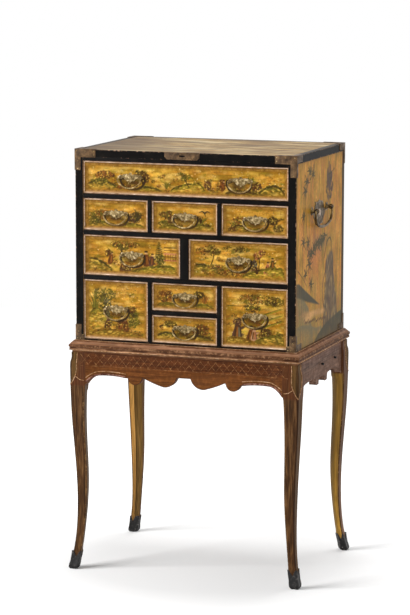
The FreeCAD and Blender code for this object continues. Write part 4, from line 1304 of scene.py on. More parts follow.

# %% [markdown]
# The brass has not been cleaned for a long time. On the handles it is rubbed pale where
# fingers touch and brown in the hollows; the corner mounts are darker and pinker all over.
# Here noise mixes pale and brown in patches and roughens the brown parts.
# %% Brass


def old_brass(name, dark, middle, bright, size_mm, rough=(0.3, 0.6), metal=0.85):
    """Brass whose tarnish has patches of that size, from rubbed smooth to dull."""
    return material(name, [
        ("tarnish", "TexNoise", ["coords.Object", per_metre(size_mm), 6, 0.65]),
        ("tone", "ValToRGB", ["tarnish.Fac"], [(0.33, dark), (0.52, middle), (0.68, bright)]),
        ("gloss", "MapRange", ["tarnish.Fac", 0.3, 0.7, rough[1], rough[0]]),
        ("pits", "TexNoise", ["coords.Object", per_metre(1.6), 3]),
        ("relief", "Bump", {"Height": "pits.Fac", "Strength": 0.12, "Distance": 0.0003}),
        ("brass", "BsdfPrincipled", {"Base Color": "tone.Color", "Metallic": metal,
         "Roughness": "gloss.Result", "Normal": "relief.Normal"}),
    ])


handle_brass = old_brass("aged_cast_brass_handles", "#32240d", "#7f6b45", "#c4b087", 8)
bail_brass = old_brass("rubbed_brass_bails", "#43321a", "#8a7142", "#d2ba84", 12, (0.3, 0.5))
side_bronze = old_brass("dark_bronze_side_handles", "#2e2216", "#5c4829", "#98825a", 12, (0.24, 0.5))
boss_brass = old_brass("polished_brass_bosses", "#7c6652", "#b39c86", "#dccab6", 14, (0.22, 0.36))
mount_brass = old_brass("dull_sheet_brass_mounts", "#302214", "#523c24", "#75593a", 16, (0.4, 0.65), 0.6)
print("brasses:", handle_brass.name, bail_brass.name, side_bronze.name, mount_brass.name)

# %% [markdown]
# The corner mounts are bent from one sheet each and pinned with a row of small nails whose
# domed heads stand along the edges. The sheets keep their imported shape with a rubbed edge;
# the nails sit on points laid along each arm.
# %% Corner mounts and nails
softened("brass_mounts", "corner_mounts", 0.5, mount_brass, 60)
SHEET = 1.6
NAIL_RADIUS = 1.5
NAIL_HEIGHT = 0.7
NAIL_EDGE = 5
# The board's edge, the way from it, and how far a mount reaches across and up at that edge.
MOUNTS = ((TOP, -1, 66, 63), (BOTTOM, 1, 28, 48))
nails, nail_facings = [], []
for sign in (-1, 1):
    for face in (-1, 1):
        for edge, way, arm, upright in MOUNTS:
            outer_y = face * (HALF_DEPTH + SHEET)
            for x, z in ((arm - NAIL_EDGE, NAIL_EDGE), (arm - NAIL_EDGE, 16), (arm / 2, NAIL_EDGE),
                         (9, upright - NAIL_EDGE), (NAIL_EDGE, NAIL_EDGE), (9, upright * 0.55)):
                nails.append((sign * (HALF_WIDTH - x), outer_y, edge + way * min(z, upright - 4)))
                nail_facings.append((0, face, 0))
            outer_x = sign * (HALF_WIDTH + SHEET)
            for y, z in ((NAIL_EDGE, NAIL_EDGE), (50, NAIL_EDGE), (50, 15), (28, 10),
                         (7, upright - NAIL_EDGE), (7, upright * 0.55)):
                nails.append((outer_x, face * (HALF_DEPTH - y), edge + way * z))
                nail_facings.append((sign, 0, 0))
head_piece("mount_nails", nails, nail_facings, NAIL_RADIUS, NAIL_HEIGHT, bail_brass)
print("nails:", len(nails))

# %% [markdown]
# A drawer handle is a cast plate between two posts, with a bail that hangs from the posts'
# eyes. The plate is lobed like a fan with a domed middle and a raised rim; the posts are
# turned, with a rosette against the drawer and a ring for an eye.
# %% Turned and lobed brass parts


def circle(count):
    """The angles of that many points round a circle."""
    return [2 * pi * k / count for k in range(count)]


def lathe(profile, segments=20):
    """A turned part about the -Y axis: (radius, distance out) pairs, closed at both ends."""
    return Shape([(radius * cos(angle), -out, radius * sin(angle))
                  for radius, out in profile for angle in circle(segments)], skin(len(profile), segments))


def eye_ring(radius, hole, width, out, segments=20, around=10):
    """The ring that a bail passes through, about the X axis at a distance out."""
    middle, half = (radius + hole) / 2, (radius - hole) / 2
    points = []
    for turn in circle(segments):
        for angle in circle(around):
            across = middle + half * cos(angle)
            points.append((width / 2 * sin(angle), -out + across * cos(turn), across * sin(turn)))
    return Shape(points, skin(segments, around, joined=True))


def plate_edge(angle):
    """How far a drawer's plate reaches in a direction: to the furthest edge of its discs and its drop."""
    dx, dz = cos(angle), sin(angle)
    reach = 0
    for x, z, radius in PLATE_DISCS:
        along = x * dx + z * dz
        room = radius ** 2 - (x * x + z * z - along * along)
        if room > 0:
            reach = max(reach, along + sqrt(room))
    if dz < 0:
        half_width, length = PLATE_DROP
        reach = max(reach, half_width * length / (length * abs(dx) + half_width * -dz))
    return reach


# A plate's rim from its edge inwards: the share of its reach, and of its thickness.
PLATE_RIM = ((1, 0), (1, 0.55), (0.97, 0.9), (0.93, 1), (0.86, 0.98), (0.81, 0.70), (0.72, 0.74))


def cast_plate(edge_of, thickness, dome, segments=72, ribs=0):
    """A plate on y = 0 with a bevelled rim, a hollow inside it and a domed middle."""
    rows = [(share, [thickness * height] * segments) for share, height in PLATE_RIM]
    for j in range(1, 6):
        rib = 0.12 * dome * sin(pi * j / 6) if ribs else 0
        height = thickness * 0.74 + dome * sin(pi / 2 * (j - 0.4) / 5)
        rows.append((PLATE_RIM[-1][0] * (1 - j / 5.5),
                     [height + rib * cos(ribs * angle) for angle in circle(segments)]))
    points = []
    for share, row in rows:
        for angle, height in zip(circle(segments), row):
            reach = edge_of(angle) * share
            points.append((reach * cos(angle), -height, reach * sin(angle)))
    return Shape(points, skin(len(rows), segments))


def bail_line(half_span, inset, drop, bend, straight, shoulder):
    """The bail's line as (x, height) pairs: from one eye out, down and round to the other eye.

    The arms are joined to the long bottom arc by a shoulder that is tangent to both.
    """
    arm_top = -bend
    arc_top = -bend - straight
    centre_x = half_span - shoulder
    rise = drop + arc_top
    sweep = (centre_x ** 2 + rise ** 2 - shoulder ** 2) / (2 * (rise - shoulder))
    centre_z = sweep - drop
    touch = atan2(arc_top - centre_z, centre_x)
    line = [(inset, 0)]
    for k in range(5):
        angle = pi / 2 * (1 - k / 4)
        line.append((half_span - bend + bend * cos(angle), arm_top + bend * sin(angle)))
    line.append((half_span, arc_top))
    for k in range(1, 7):
        angle = touch * k / 6
        line.append((centre_x + shoulder * cos(angle), arc_top + shoulder * sin(angle)))
    for k in range(1, 9):
        angle = touch + (-pi / 2 - touch) * k / 8
        line.append((sweep * cos(angle), centre_z + sweep * sin(angle)))
    return [(-x, z) for x, z in line] + line[-2::-1]


print("handle parts ready")

# %% [markdown]
# The eleven drawer handles are all alike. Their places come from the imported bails, so each
# handle hangs where its hinge is. The mounts stay with the drawer and the bail rides on its
# own body.
# %% Drawer handles
PANEL = FRONT + 8
POST_OUT = 12
POST_HALF = 31
BAIL_RADIUS = 2.2
DRAWER_POST = ((6.5, 0), (6.5, 0.7), (5.9, 1.3), (4.6, 1.5), (3.9, 2.2), (3.5, 3.4), (2.6, 4.2), (2.3, 5.4),
               (2.6, 6.4), (3.1, 7.2), (2.8, 8.1), (2, 8.6))
PLATE_DISCS = ((0, -1.5, 11.5), (-13, 0.5, 8.6), (13, 0.5, 8.6), (-20.5, 2, 6), (20.5, 2, 6),
               (0, 6.5, 6), (-9, -6.5, 6), (9, -6.5, 6))
PLATE_DROP = (13, 18)
mount_set = Shape()
for sign in (-1, 1):
    mount_set.merged(lathe(DRAWER_POST), (sign * POST_HALF, 0, 0))
    ring = eye_ring(radius=4.6, hole=BAIL_RADIUS + 0.12, width=4, out=POST_OUT)
    mount_set.merged(ring, (sign * POST_HALF, 0, 0))
mount_set.merged(cast_plate(plate_edge, thickness=1.4, dome=1.5, ribs=12))
bail_points = bail_line(half_span=36.2, inset=29.4, drop=33, bend=3.2, straight=5, shoulder=15)
bail_nodes = [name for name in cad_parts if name.endswith("_bail") and "side" not in name]
for name in drawers:
    shape = Shape()
    for bail in [node for node in bail_nodes if node.startswith(name)]:
        low, high = box_mm(bail)
        middle, pivot_z = (low[0] + high[0]) / 2, high[2] - BAIL_RADIUS
        shape.merged(mount_set, (middle, PANEL, pivot_z))
        rod_piece(bail + "_rod", [[(x + middle, PANEL - POST_OUT, z + pivot_z) for x, z in bail_points]],
                  BAIL_RADIUS, bail_brass, sides=12, end=1.7, body=bail, replaces=[bail])
    new_piece(name + "_handle", shape, [handle_brass], name, [name + "_handle_mounts"])
print("drawer handles:", len(bail_nodes))

# %% [markdown]
# The two carrying handles on the sides are larger and plainer: an oval plate with a round
# boss that has been polished by hands, two stout posts and a heavy bail.
# %% Side handles
SIDE_POST = ((13, 0), (13, 1), (12.2, 1.9), (10, 2), (8.4, 3.4), (7, 4.6), (5.6, 6), (5, 8),
             (5.6, 9.4), (6.6, 10.2), (5.8, 11), (4.4, 11.4))
SIDE_BOSS = ((13.5, 0), (13.5, 0.8), (12.4, 1.6), (12, 2.2), (10.6, 3.4), (8, 4.1), (4, 4.55), (1, 4.6))
SIDE_OUT = 16
SIDE_HALF = 73
SIDE_RADIUS = 4.2
SIDE_DROP = 12


def oval_edge(angle):
    """An oval with eight shallow lobes."""
    oval = 1 / hypot(cos(angle) / 59, sin(angle) / 40)
    return oval * (0.95 + 0.05 * cos(8 * angle))


side_set = Shape()
for sign in (-1, 1):
    side_set.merged(lathe(SIDE_POST, 28), (sign * SIDE_HALF, 0, 0))
    ring = eye_ring(radius=8, hole=SIDE_RADIUS + 0.12, width=9, out=SIDE_OUT, segments=28, around=14)
    side_set.merged(ring, (sign * SIDE_HALF, 0, 0))
side_set.merged(cast_plate(oval_edge, thickness=1.6, dome=1), (0, 0, -SIDE_DROP))
boss = lathe(SIDE_BOSS, 32)
boss.slots = [1] * len(boss.faces)
side_set.merged(boss, (0, 0, -SIDE_DROP))
side_line = bail_line(half_span=83.5, inset=68.9, drop=52, bend=6, straight=6, shoulder=32)
both = Shape()
for bail, sign in (("right_side_bail", 1), ("left_side_bail", -1)):
    low, high = box_mm(bail)
    pivot_y = (low[1] + high[1]) / 2
    pivot_z = high[2] - SIDE_RADIUS
    both.add([(sign * (HALF_WIDTH - y), pivot_y + sign * x, pivot_z + z) for x, y, z in side_set.points],
             side_set.faces, side_set.slots)
    rod_piece(bail + "_rod",
              [[(sign * (HALF_WIDTH + SIDE_OUT), pivot_y + sign * x, pivot_z + z) for x, z in side_line]],
              SIDE_RADIUS, side_bronze, sides=16, end=3.2, body=bail, replaces=[bail])
new_piece("side_handle_plates", both, [side_bronze, boss_brass], ROOT, ["side_handle_mounts"])
print("side handles: 2")

# %% [markdown]
# The stand is carved wood, painted red-brown over gesso, with gilding along its carved edges
# that time has rubbed back to ochre. The paint is a mix of three browns in drifting patches,
# darker streaks follow the grain, and the arris value brings the gilding in.
# %% Painted and gilded stand


def stand_finish(name, deep, middle, pale, gilt, grain_axis, gilt_from=0.42, patch=26, bands=(), run=1,
                 tinted=False):
    """Red-brown paint with rubbed gilding on the arrises.

    bands tint it by height, run draws its patches out along the grain, and a tinted one takes
    the mesh's "tint" colour as far as that colour's alpha says.
    """
    rows = [
        stretched("drawn", grain_axis, patch, run),
        ("cloud", "TexNoise", ["drawn.Vector", 1, 6, 0.65]),
        ("paint", "ValToRGB", ["cloud.Fac"], [(0.36, deep), (0.5, middle), (0.64, pale)]),
        stretched("along", grain_axis, 3.6, 26),
        ("grain", "TexNoise", ["along.Vector", 1, 5]),
        ("grain_level", "MapRange", ["grain.Fac", 0.35, 0.68, 0.62, 1.26]),
    ]
    base = "paint.Color"
    if tinted:
        rows += [
            ("tint", "Attribute", {}, {"attribute_name": "tint"}),
            ("thinned", "MapRange", ["cloud.Fac", 0.38, 0.66, 1, 0.6]),
            ("tint_part", "Math", ["tint.Alpha", "thinned.Result"], TIMES),
            ("tinted", "Mix", ["tint_part.Value", "paint.Color", "tint.Color"], RGBA),
        ]
        base = "tinted.Result"
    if bands:
        foot, top = bands[0][0], bands[-1][0]
        rows += [
            ("place", "SeparateXYZ", {"Vector": "coords.Object"}),
            ("waver", "Math", ["cloud.Fac", 0.004], TIMES),
            ("level", "Math", ["place.Z", "waver.Value"], {"operation": "SUBTRACT"}),
            ("height", "MapRange", ["level.Value", foot * MM, top * MM]),
            ("band", "ValToRGB", ["height.Result"],
             [((z - foot) / (top - foot), colour) for z, colour in bands]),
            ("banded", "Mix", [0.62, "paint.Color", "band.Color"], RGBA),
        ]
        base = "banded.Result"
    return material(name, rows + [
        ("grained", "VectorMath", [base, "grain_level.Result"], SCALED),
        ("arris", "Attribute", {}, {"attribute_name": "arris"}),
        ("rub", "TexNoise", ["coords.Object", per_metre(12), 6, 0.7]),
        ("rubbed", "MapRange", ["rub.Fac", gilt_from, gilt_from + 0.12, 0.05]),
        ("gilding", "Math", ["rubbed.Result", "arris.Fac"], TIMES),
        ("colour", "Mix", ["gilding.Value", "grained.Vector", gilt], RGBA),
        ("gloss", "MapRange", ["rub.Fac", 0, 1, 0.38, 0.66]),
        ("relief", "Bump", {"Height": "grain.Fac", "Strength": 0.12, "Distance": 0.0005}),
        ("painted_wood", "BsdfPrincipled", {"Base Color": "colour.Result", "Roughness": "gloss.Result",
         "Specular IOR Level": OLD_SHINE, "Normal": "relief.Normal"}),
    ])


# The dark band from about 688 to 699 mm, just under the moulding's lip, is painted shade.
moulding_paint = stand_finish(
    "worn_paint_on_moulding", "#2b160a", "#5e3a24", "#9a7254", "#8c6648", "X", 0.5, 16,
    ((677, "#6b452c"), (683, "#8a6448"), (685.5, "#9c7454"), (688, "#4e2f1b"), (691, "#42240f"),
     (699, "#4a2a14"), (702, "#8d6246"), (706.5, "#b28566"), (709.5, "#6a412a"), (712, "#553420"),
     (713.5, "#9a785a"), (716, "#6b4c34")), 2)
frieze_paint = stand_finish(
    "red_brown_frieze", "#2f1507", "#4f2911", "#784421", "#26140a", "X", 0.3, 14,
    ((583, "#6e4118"), (636, "#653a16"), (641, "#4b270e"), (676, "#4f2b13"), (678, "#5e3a22")))
side_paint = stand_finish(
    "mauve_brown_side_aprons", "#37291f", "#6b4f41", "#9a7d6c", "#4a382e", "Y", 0.4, 15,
    ((583, "#6d5040"), (634, "#6f5242"), (650, "#5b463b"), (664, "#6b4f43"), (678, "#80604f")))
leg_paint = stand_finish(
    "brown_legs_with_rubbed_edges", "#2d1a0a", "#4a3019", "#68492a", "#7d5e3a", "Z", 0.52, 7, run=14,
    tinted=True)
relief_gilding = stand_finish(
    "rubbed_gilding_on_carving", "#7c5535", "#a98058", "#d0a988", "#bd9a6a", "X", 0.4, 8)
roll_paint = stand_finish("mauve_paint_on_carving", "#43251a", "#714a3c", "#a37d6b", "#c49c84", "X", 0.4, 8)
lattice_gilding = stand_finish(
    "faint_gilding_in_the_lattice", "#4f2b15", "#74492a", "#a27548", "#8a6240", "X", 0.4, 9)
print("stand finishes: 7")

# %% [markdown]
# The moulding goes round under the cabinet as four lengths mitred at the corners. One profile
# is drawn as distances out from the cabinet's faces and heights, and its points are carried
# round the four corners, which gives the mitres for nothing.
# %% Moulding
MOULDING_PROFILE = (
    (-42, 715), (1.5, 715), (3, 714.9), (5.2, 713.6), (8, 711.2), (11.4, 707.8), (14.2, 704.6),
    (15.6, 702.7), (16.6, 702), (17.5, 701.6), (18, 700.4), (18, 696), (17.6, 694.6), (16.8, 694),
    (15.7, 693.6), (15.3, 692.8), (15.7, 692), (16.3, 691.4), (16.3, 686), (15.9, 684.8), (14.8, 684.2),
    (12.6, 683.8), (10.6, 682.8), (9.4, 681.2), (9, 679.6), (9, 678), (-16, 678), (-42, 696),
)
EDGE_HEIGHTS = ((700, 703), (693.9, 696.2))


def ring_of(profile):
    """The profile carried round the four corners."""
    worn = [float(any(low <= z <= high for low, high in EDGE_HEIGHTS)) for _, z in profile]
    points = [(sx * (HALF_WIDTH + out), sy * (HALF_DEPTH + out), z)
              for sx, sy in ((-1, -1), (1, -1), (1, 1), (-1, 1)) for out, z in profile]
    return Shape(points, skin(4, len(profile), joined=True), arris=worn * 4)


new_piece("mitred_moulding", ring_of(MOULDING_PROFILE), [moulding_paint], ROOT, ["stand_moulding"],
          sharp=60)


def ring_line(out, z):
    """A closed line round the stand."""
    x, y = HALF_WIDTH + out, HALF_DEPTH + out
    return [(-x, -y, z), (x, -y, z), (x, y, z), (-x, y, z), (-x, -y, z)]


rod_piece("moulding_beads", [ring_line(16, 685.6), ring_line(4, 713.4)], 1.3, relief_gilding)
print("moulding profile points:", len(MOULDING_PROFILE))

# %% [markdown]
# The aprons are boards sawn to a scrolled lower edge. On the front and back each end of the
# frieze swells forward to the face of the leg, so that paint and carving run on without a seam.
# A carved bead runs over each end arch: its line is read from the board's own outline, and the
# rod rule lays it. The two side boards are cut more simply, with a pair of square lobes.
# %% Aprons
LEG_TOP = box_mm("front_right_leg")[1][2]
APRON_OUT = 6
APRON_THICK = 22
SIDE_LINE = ((0, 604), (25, 603), (28, 600), (29, 587), (31, 585), (55, 585), (57, 587), (59, 602),
             (63, 606), (90, 608.5), (135, 609), (170, 606), (186, 600), (196, 591), (203, 581),
             (212, 581), (212, LEG_TOP))


def side_boards():
    """Both side aprons: the sawn line mirrored, and drawn out to a board."""
    line = [(-y, z) for y, z in reversed(SIDE_LINE)] + list(SIDE_LINE[1:])
    boards = Shape()
    for sign in (-1, 1):
        *sides, face, back = skin(2, len(line))
        boards.add([(sign * (HALF_WIDTH + out), y, z) for out in (APRON_OUT, APRON_OUT - APRON_THICK)
                    for y, z in line], [face, back, *sides])
    return mesh_of("side_boards", boards)


softened("front_apron", "front_apron_board", 1.2, frieze_paint, 40)
softened("rear_apron", "rear_apron_board", 1.2, frieze_paint, 40)
softened("side_aprons", "side_apron_boards", 1.2, side_paint, 40, side_boards())
BEAD_IN = 13
ARCH_FROM = 184


def lower_outline(node, sign):
    """The lower edge of the front or rear apron's outer face: (x, height) from end to end."""
    work = bmesh.new()
    work.from_mesh(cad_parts[node].data)
    bmesh.ops.remove_doubles(work, verts=work.verts, dist=0.01 * MM)
    plane = max(sign * vert.co.y for vert in work.verts)
    on_face = {vert for vert in work.verts if abs(sign * vert.co.y - plane) < 0.05 * MM}
    faces = {face for face in work.faces if all(vert in on_face for vert in face.verts)}
    rim = [edge for edge in work.edges if sum(face in faces for face in edge.link_faces) == 1]
    low = {vert for edge in rim for vert in edge.verts if vert.co.z < LEG_TOP * MM - 0.001}
    line = sorted(((vert.co.x / MM, vert.co.z / MM) for vert in low))
    work.free()
    return line, plane / MM


def inset_line(line, distance):
    """The line moved up its own normal."""
    dense = []
    for (x0, z0), (x1, z1) in zip(line, line[1:]):
        steps = max(1, round(hypot(x1 - x0, z1 - z0) / 3))
        dense.extend((x0 + (x1 - x0) * k / steps, z0 + (z1 - z0) * k / steps) for k in range(steps))
    dense.append(line[-1])
    moved = []
    for k, (x, z) in enumerate(dense):
        before, after = dense[max(k - 2, 0)], dense[min(k + 2, len(dense) - 1)]
        dx, dz = after[0] - before[0], after[1] - before[1]
        length = hypot(dx, dz) or 1
        moved.append((x - dz / length * distance, z + dx / length * distance))
    return moved


def section_reach(node, heights):
    """Outermost and innermost distance from the middle plane at each height, in millimetres."""
    work = bmesh.new()
    work.from_mesh(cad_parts[node].data)
    edges = [(edge.verts[0].co / MM, edge.verts[1].co / MM) for edge in work.edges]
    work.free()
    rows = []
    for z in heights:
        xs, ys = [], []
        for a, b in edges:
            if (a.z - z) * (b.z - z) <= 0 and abs(a.z - b.z) > 1e-6:
                t = (z - a.z) / (b.z - a.z)
                xs.append(abs(a.x + (b.x - a.x) * t))
                ys.append(abs(a.y + (b.y - a.y) * t))
        rows.append((max(xs), min(xs), max(ys), min(ys)))
    return rows


ROLL_IN = 4.2
APRON_END = 314.4
APRON_FOOT_END = 677.8
SWELL_FROM = 262
leg_heights = np.linspace(560, LEG_TOP - 1, 40)
leg_reach = [row[2] for row in section_reach("front_left_leg", leg_heights)]


def swell(x, z):
    """How far the frieze comes forward towards a leg, to meet the leg's face."""
    t = min(max((abs(x) - SWELL_FROM) / (APRON_END - SWELL_FROM), 0), 1)
    return t * t * (3 - 2 * t) * (float(np.interp(z, leg_heights, leg_reach)) - 0.2
                                  - HALF_DEPTH - APRON_OUT)


def swollen_end(end, sign, line, plane):
    """The filling between the frieze and one leg: a curved face over a flat back."""
    columns, rows = 13, 17
    points = []
    for lift in (1, 0):
        for x in np.linspace(SWELL_FROM, APRON_END + 0.4, columns):
            low = float(np.interp(end * x, *zip(*line))) + 0.6
            points.extend((end * x, sign * (plane + swell(x, z) * lift - 0.3 + 0.32 * lift), z)
                          for z in np.linspace(low, APRON_FOOT_END, rows))
    half = columns * rows
    rim = rim_of(columns, rows)
    sides = [(a, b, b + half, a + half) for a, b in zip(rim, rim[1:] + rim[:1])]
    return Shape(points, grid(columns, rows) + grid(columns, rows, half) + sides)


bead_lines, roll_lines = [], []
ends = Shape()
for node, sign in (("front_apron", -1), ("rear_apron", 1)):
    line, plane = lower_outline(node, sign)
    for end in (-1, 1):
        arch = [(x, z) for x, z in line if end * x > ARCH_FROM]
        for lines, distance in ((bead_lines, BEAD_IN), (roll_lines, ROLL_IN)):
            lines.append([(x, sign * (plane + swell(x, z) + 0.2), z) for x, z in inset_line(arch, distance)
                          if abs(x) < APRON_END - 1])
        ends.merged(swollen_end(end, sign, line, plane))
    print(node, "outline points:", len(line))
new_piece("apron_ends", ends, [frieze_paint], sharp=40)
rod_piece("apron_beads", bead_lines, 1.2, relief_gilding)
rod_piece("arch_rolls", roll_lines, 2.6, roll_paint)

# %% [markdown]
# Each leg curves from a square block at the top, out over a knee and in again, down to a toe
# that turns out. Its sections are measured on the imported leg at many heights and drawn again
# with rounded arrises and faces that are slightly hollow, as a spokeshave leaves them. Each
# point takes a tint from the face it is on: the frieze's paint runs on over the block, round a
# plain shield on the outer arris, and the inner faces have kept more of their gilding.
# %% Legs
LEVELS = 96
CORNER_STEPS = 3
FACE_STEPS = 8
OUTER_ROUND = 3.4
SIDE_ROUND = 2.6
BLOCK_ROUND = 0.5
TOE_CHAMFER = 0.36
SOLE_ROUND = 4.6
SOLE_HEIGHT = 9
TOE_TOP = 60
BLOCK_FOOT = 560
SHIELD_TOP = 676
# How far a leg and its shoe stop short of the floor and of the moulding.
HAIR = 0.02
HOLLOW = 0.022
SHIELD_FOOT = 577
SHIELD = ((577, 0), (586, 8), (600, 15), (612, 20), (628, 22.5), (645, 22), (660, 19), (676, 20))
SHIELD_SIDE = 1.5
FACE_TINTS = {
    "front_left_leg": {"arris": "#2e1a0c", "inner_x": "#6f6152", "chamfer": "#5f4b34",
                       "inner_y": "#5f4326"},
    "front_right_leg": {"arris": "#2b180b", "outer_x": "#584026", "inner_x": "#5f4326",
                        "inner_y": "#5f4326"},
    "rear_left_leg": {"arris": "#3a2412", "inner_y": "#c5914a", "crease": "#5a431c", "chamfer": "#a07a40",
                      "inner_x": "#785638"},
    "rear_right_leg": {"arris": "#3a2412", "inner_y": "#9a7430", "crease": "#8a6a2c", "chamfer": "#7d5f28",
                       "outer_x": "#6a5040"},
}
# How much lighter or darker a leg's tints are at its foot.
FOOT_GLOW = {"rear_left_leg": 0.6, "rear_right_leg": 1.7}


def leg_outline(side, chamfer, side_round=SIDE_ROUND):
    """Points round a section: in from the outer x and y faces, then what the point lies on."""
    made = []
    corners = (((0, 0), OUTER_ROUND), ((side, 0), side_round), ((side, side), chamfer),
               ((0, side), side_round))
    for c, ((u, v), size) in enumerate(corners):
        before = corners[c - 1][0]
        after = corners[(c + 1) % 4][0]
        start = np.array((u, v)) + size * np.sign(np.subtract(before, (u, v)))
        end = np.array((u, v)) + size * np.sign(np.subtract(after, (u, v)))
        for k in range(CORNER_STEPS):
            t = k / (CORNER_STEPS - 1)
            curve = (1 - t) ** 2 * start + 2 * t * (1 - t) * np.array((u, v)) + t * t * end
            point = curve if c != 2 else start + (end - start) * t
            made.append((*point, ("arris", "rubbed", "crease" if k == 2 else "chamfer", "rubbed")[c]))
        next_size = corners[(c + 1) % 4][1]
        goal = np.array(after) + next_size * np.sign(np.subtract((u, v), after))
        normal = np.array((-(goal - end)[1], (goal - end)[0]))
        length = np.linalg.norm(normal) or 1
        for k in range(1, FACE_STEPS):
            t = k / FACE_STEPS
            made.append((*(end + (goal - end) * t + normal / length * side * HOLLOW * sin(pi * t)),
                         ("outer_y", "inner_x", "inner_y", "outer_x")[c]))
    return made


def shield_width(z):
    """How far the shield reaches from the outer arris at a height."""
    return float(np.interp(z, *zip(*SHIELD)))


def tint_of(node, kind, u, v, z):
    """The colour that is laid over the brown at a point of a leg, and how thickly."""
    if z > SHIELD_FOOT and kind in ("outer_y", "outer_x", "rubbed", "arris"):
        if v < u and u > shield_width(z):
            return (*linear("#502b14")[:3], 0.9)
        if u < v and v > shield_width(z) * SHIELD_SIDE:
            return (*linear("#6a4e40")[:3], 0.9)
        return (*linear("#241608" if kind == "arris" else "#5e4420")[:3], 0.75)
    colour = FACE_TINTS[node].get(kind) if z < SHIELD_FOOT else "#5a3520"
    if not colour:
        return (*linear("#543721")[:3], 0)
    glow = float(np.interp(z, (80, 330), (FOOT_GLOW.get(node, 1), 1)))
    return (*(channel * glow for channel in linear(colour)[:3]), 0.85)


def sole_round(z):
    """How far the edge of the foot is rounded in, close to the floor."""
    return SOLE_ROUND * max(0, 1 - z / SOLE_HEIGHT) ** 2


def lofted_leg(sign_x, sign_y, node):
    """A leg drawn again through its sections, with a rounded sole and its tints."""
    heights = [LEG_TOP * k / (LEVELS - 1) for k in range(LEVELS)]
    heights[0], heights[-1] = HAIR, LEG_TOP - HAIR
    points, worn, tints = [], [], []
    for z, (outer_x, inner_x, outer_y, _) in zip(heights, section_reach(node, heights)):
        side = outer_x - inner_x
        chamfer = side * (TOE_CHAMFER if z < TOE_TOP or z > BLOCK_FOOT else 0.5)
        for u, v, kind in leg_outline(side, chamfer, SIDE_ROUND if z < SHIELD_FOOT else BLOCK_ROUND):
            sole = sole_round(z) / (side / 2)
            points.append((sign_x * (outer_x - u - sole * (side / 2 - u)),
                           sign_y * (outer_y - v - sole * (side / 2 - v)), z))
            worn.append(float(kind == "rubbed" and z < SHIELD_FOOT))
            tints.append(tint_of(node, kind, u, v, z))
    return Shape(points, skin(LEVELS, len(points) // LEVELS), arris=worn, tint=tints)


LEGS = {"front_left_leg": (-1, -1), "front_right_leg": (1, -1), "rear_left_leg": (-1, 1),
        "rear_right_leg": (1, 1)}
SHIELD_SCROLL = [(46, 592), (32, 594), (17, 604)]
shield_lines = []
for node, (sign_x, sign_y) in LEGS.items():
    new_piece(node + "_carved", lofted_leg(sign_x, sign_y, node), [leg_paint], ROOT, [node],
              sharp=60)
    heights = np.linspace(SHIELD_FOOT, SHIELD_TOP, 18)
    reach = [(z, shield_width(z), row[0], row[2]) for z, row in zip(heights, section_reach(node, heights))]
    shield_lines += [
        [(sign_x * (out_x - wide), sign_y * (out_y - 0.2), z) for z, wide, out_x, out_y in reach],
        [(sign_x * (out_x - 0.2), sign_y * (out_y - wide * SHIELD_SIDE), z)
         for z, wide, out_x, out_y in reach],
        [(sign_x * (row[0] - u), sign_y * (row[2] - 0.4), z) for (u, z), row in zip(
            SHIELD_SCROLL, section_reach(node, [z for _, z in SHIELD_SCROLL]))]]
rod_piece("leg_shields", shield_lines, 1.1, relief_gilding, 6)

# The lattice on the frieze runs on over the swollen ends and the legs, up to their shields.
LATTICE_TOP = 673
LATTICE_FOOT = 640
LATTICE_PITCH = 24
LATTICE_HALF = 332


def on_the_frieze(x0, z0, x1, z1):
    """A straight line laid on the frieze board and on the legs beside it."""
    return [(x, -HALF_DEPTH - APRON_OUT - swell(x, z), z)
            for x, z in zip(np.linspace(x0, x1, 9), np.linspace(z0, z1, 9))]


lattice = [on_the_frieze(start, LATTICE_FOOT - 2, start + LATTICE_HALF, LATTICE_FOOT - 2)
           for start in (-LATTICE_HALF, 0)]
run = LATTICE_TOP - LATTICE_FOOT - 4
x = -LATTICE_HALF
while x + run < LATTICE_HALF:
    lattice.append(on_the_frieze(x, LATTICE_TOP, x + run, LATTICE_FOOT))
    lattice.append(on_the_frieze(x + run, LATTICE_TOP, x, LATTICE_FOOT))
    x += LATTICE_PITCH
rod_piece("frieze_lattice", lattice, 0.8, lattice_gilding, 6)
print("lattice lines:", len(lattice))
print("legs:", len(LEGS))

# %% [markdown]
# Each foot wears a cast shoe. It fits close round the toe, and its top is cut into a point on
# each arris, with a hollow between, and the points stand a little away from the wood. Two iron
# pegs stick out of each side apron.
# %% Sabots and pegs
SABOT_TOP = box_mm("sabots")[1][2]
SABOT_NOTCH = 18
SABOT_LEVELS = 14
SHOE_WALL = 1.3
EAR_FLARE = (3.2, 1.4, 0.4, 1.4)
sabot_iron = material("black_patinated_sabots", [
    ("cloud", "TexNoise", ["coords.Object", per_metre(7), 6]),
    ("tone", "ValToRGB", ["cloud.Fac"],
     [(0.36, "#0c0b0b"), (0.54, "#191717"), (0.62, "#34302e"), (0.7, "#6f6a66")]),
    ("gloss", "MapRange", ["cloud.Fac", 0, 1, 0.36, 0.6]),
    ("pits", "TexNoise", ["coords.Object", per_metre(4), 3]),
    ("relief", "Bump", {"Height": "pits.Fac", "Strength": 0.4, "Distance": 0.001}),
    ("patina", "BsdfPrincipled",
     {"Base Color": "tone.Color", "Metallic": 0.4, "Roughness": "gloss.Result", "Normal": "relief.Normal"}),
])


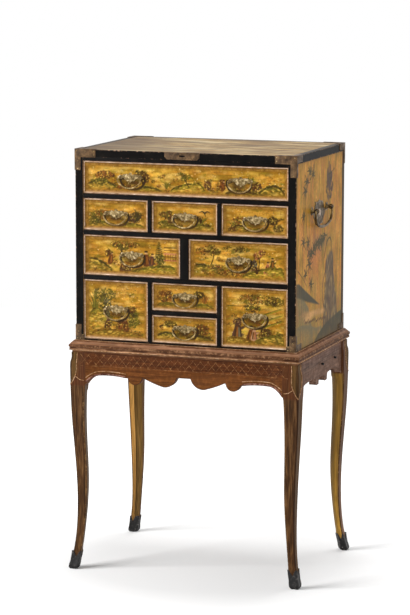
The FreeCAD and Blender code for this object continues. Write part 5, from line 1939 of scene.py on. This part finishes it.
def shoe(sign_x, sign_y, leg):
    """A closed shell round the toe: up the outside to the cut edge and down the inside."""
    heights = [SABOT_TOP * k / 40 for k in range(41)]
    heights[0] = HAIR
    table = np.array(section_reach(leg, heights))
    count = len(leg_outline(1, TOE_CHAMFER))
    per_section = CORNER_STEPS + FACE_STEPS - 1
    rows = [(share, SHOE_WALL) for share in (0, 0.02, 0.06, 0.12)]
    rows += [(level / SABOT_LEVELS, SHOE_WALL) for level in range(3, SABOT_LEVELS + 1)]
    rows += [(level / SABOT_LEVELS, -0.4) for level in range(SABOT_LEVELS, 0, -1)]
    points = []
    for share, wall in rows:
        for k in range(count):
            place = (k % per_section - (CORNER_STEPS - 1) / 2) / per_section
            ear = abs(cos(pi * place)) ** 1.3
            z = max((SABOT_TOP - SABOT_NOTCH * (1 - ear)) * share, HAIR)
            outer_x, inner_x, outer_y, _ = [np.interp(z, heights, column) for column in table.T]
            side = outer_x - inner_x
            u, v = leg_outline(side, side * TOE_CHAMFER)[k][:2]
            grow = wall
            if wall > 0:
                corner = (k // per_section + (place > 0.5)) % len(EAR_FLARE)
                grow += EAR_FLARE[corner] * max(0, share - 0.4) / 0.6 * ear
                grow += 0.9 * sin(pi * min(2.2 * share, 1)) - sole_round(z)
            u, v = u - grow * (1 - 2 * u / side), v - grow * (1 - 2 * v / side)
            points.append((sign_x * (outer_x - u), sign_y * (outer_y - v), z))
    return Shape(points, skin(len(rows), count))


shoes = Shape()
for node, (sign_x, sign_y) in LEGS.items():
    shoes.merged(shoe(sign_x, sign_y, node))
new_piece("cast_shoes", shoes, [sabot_iron], ROOT, ["sabots"], sharp=50)
print("shoes:", len(LEGS), "up to", round(SABOT_TOP), "mm")

PEG_LENGTH = 9
peg_start = HALF_WIDTH + APRON_OUT - 1
rod_piece("apron_pegs", [[(sign * peg_start, y, z), (sign * (peg_start + PEG_LENGTH), y, z - 1)]
                         for sign in (-1, 1) for y, z in ((0, 642), (131, 641))], 3.4, sabot_iron, 12)

# %% [markdown]
# Last, the size of the imported model and of what shows is measured.
# %% Measure the boxes
size = {"cad_box": [list(v) for v in cad_box], "visual_box": [list(v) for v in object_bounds()]}
print("written:", ", ".join(size))
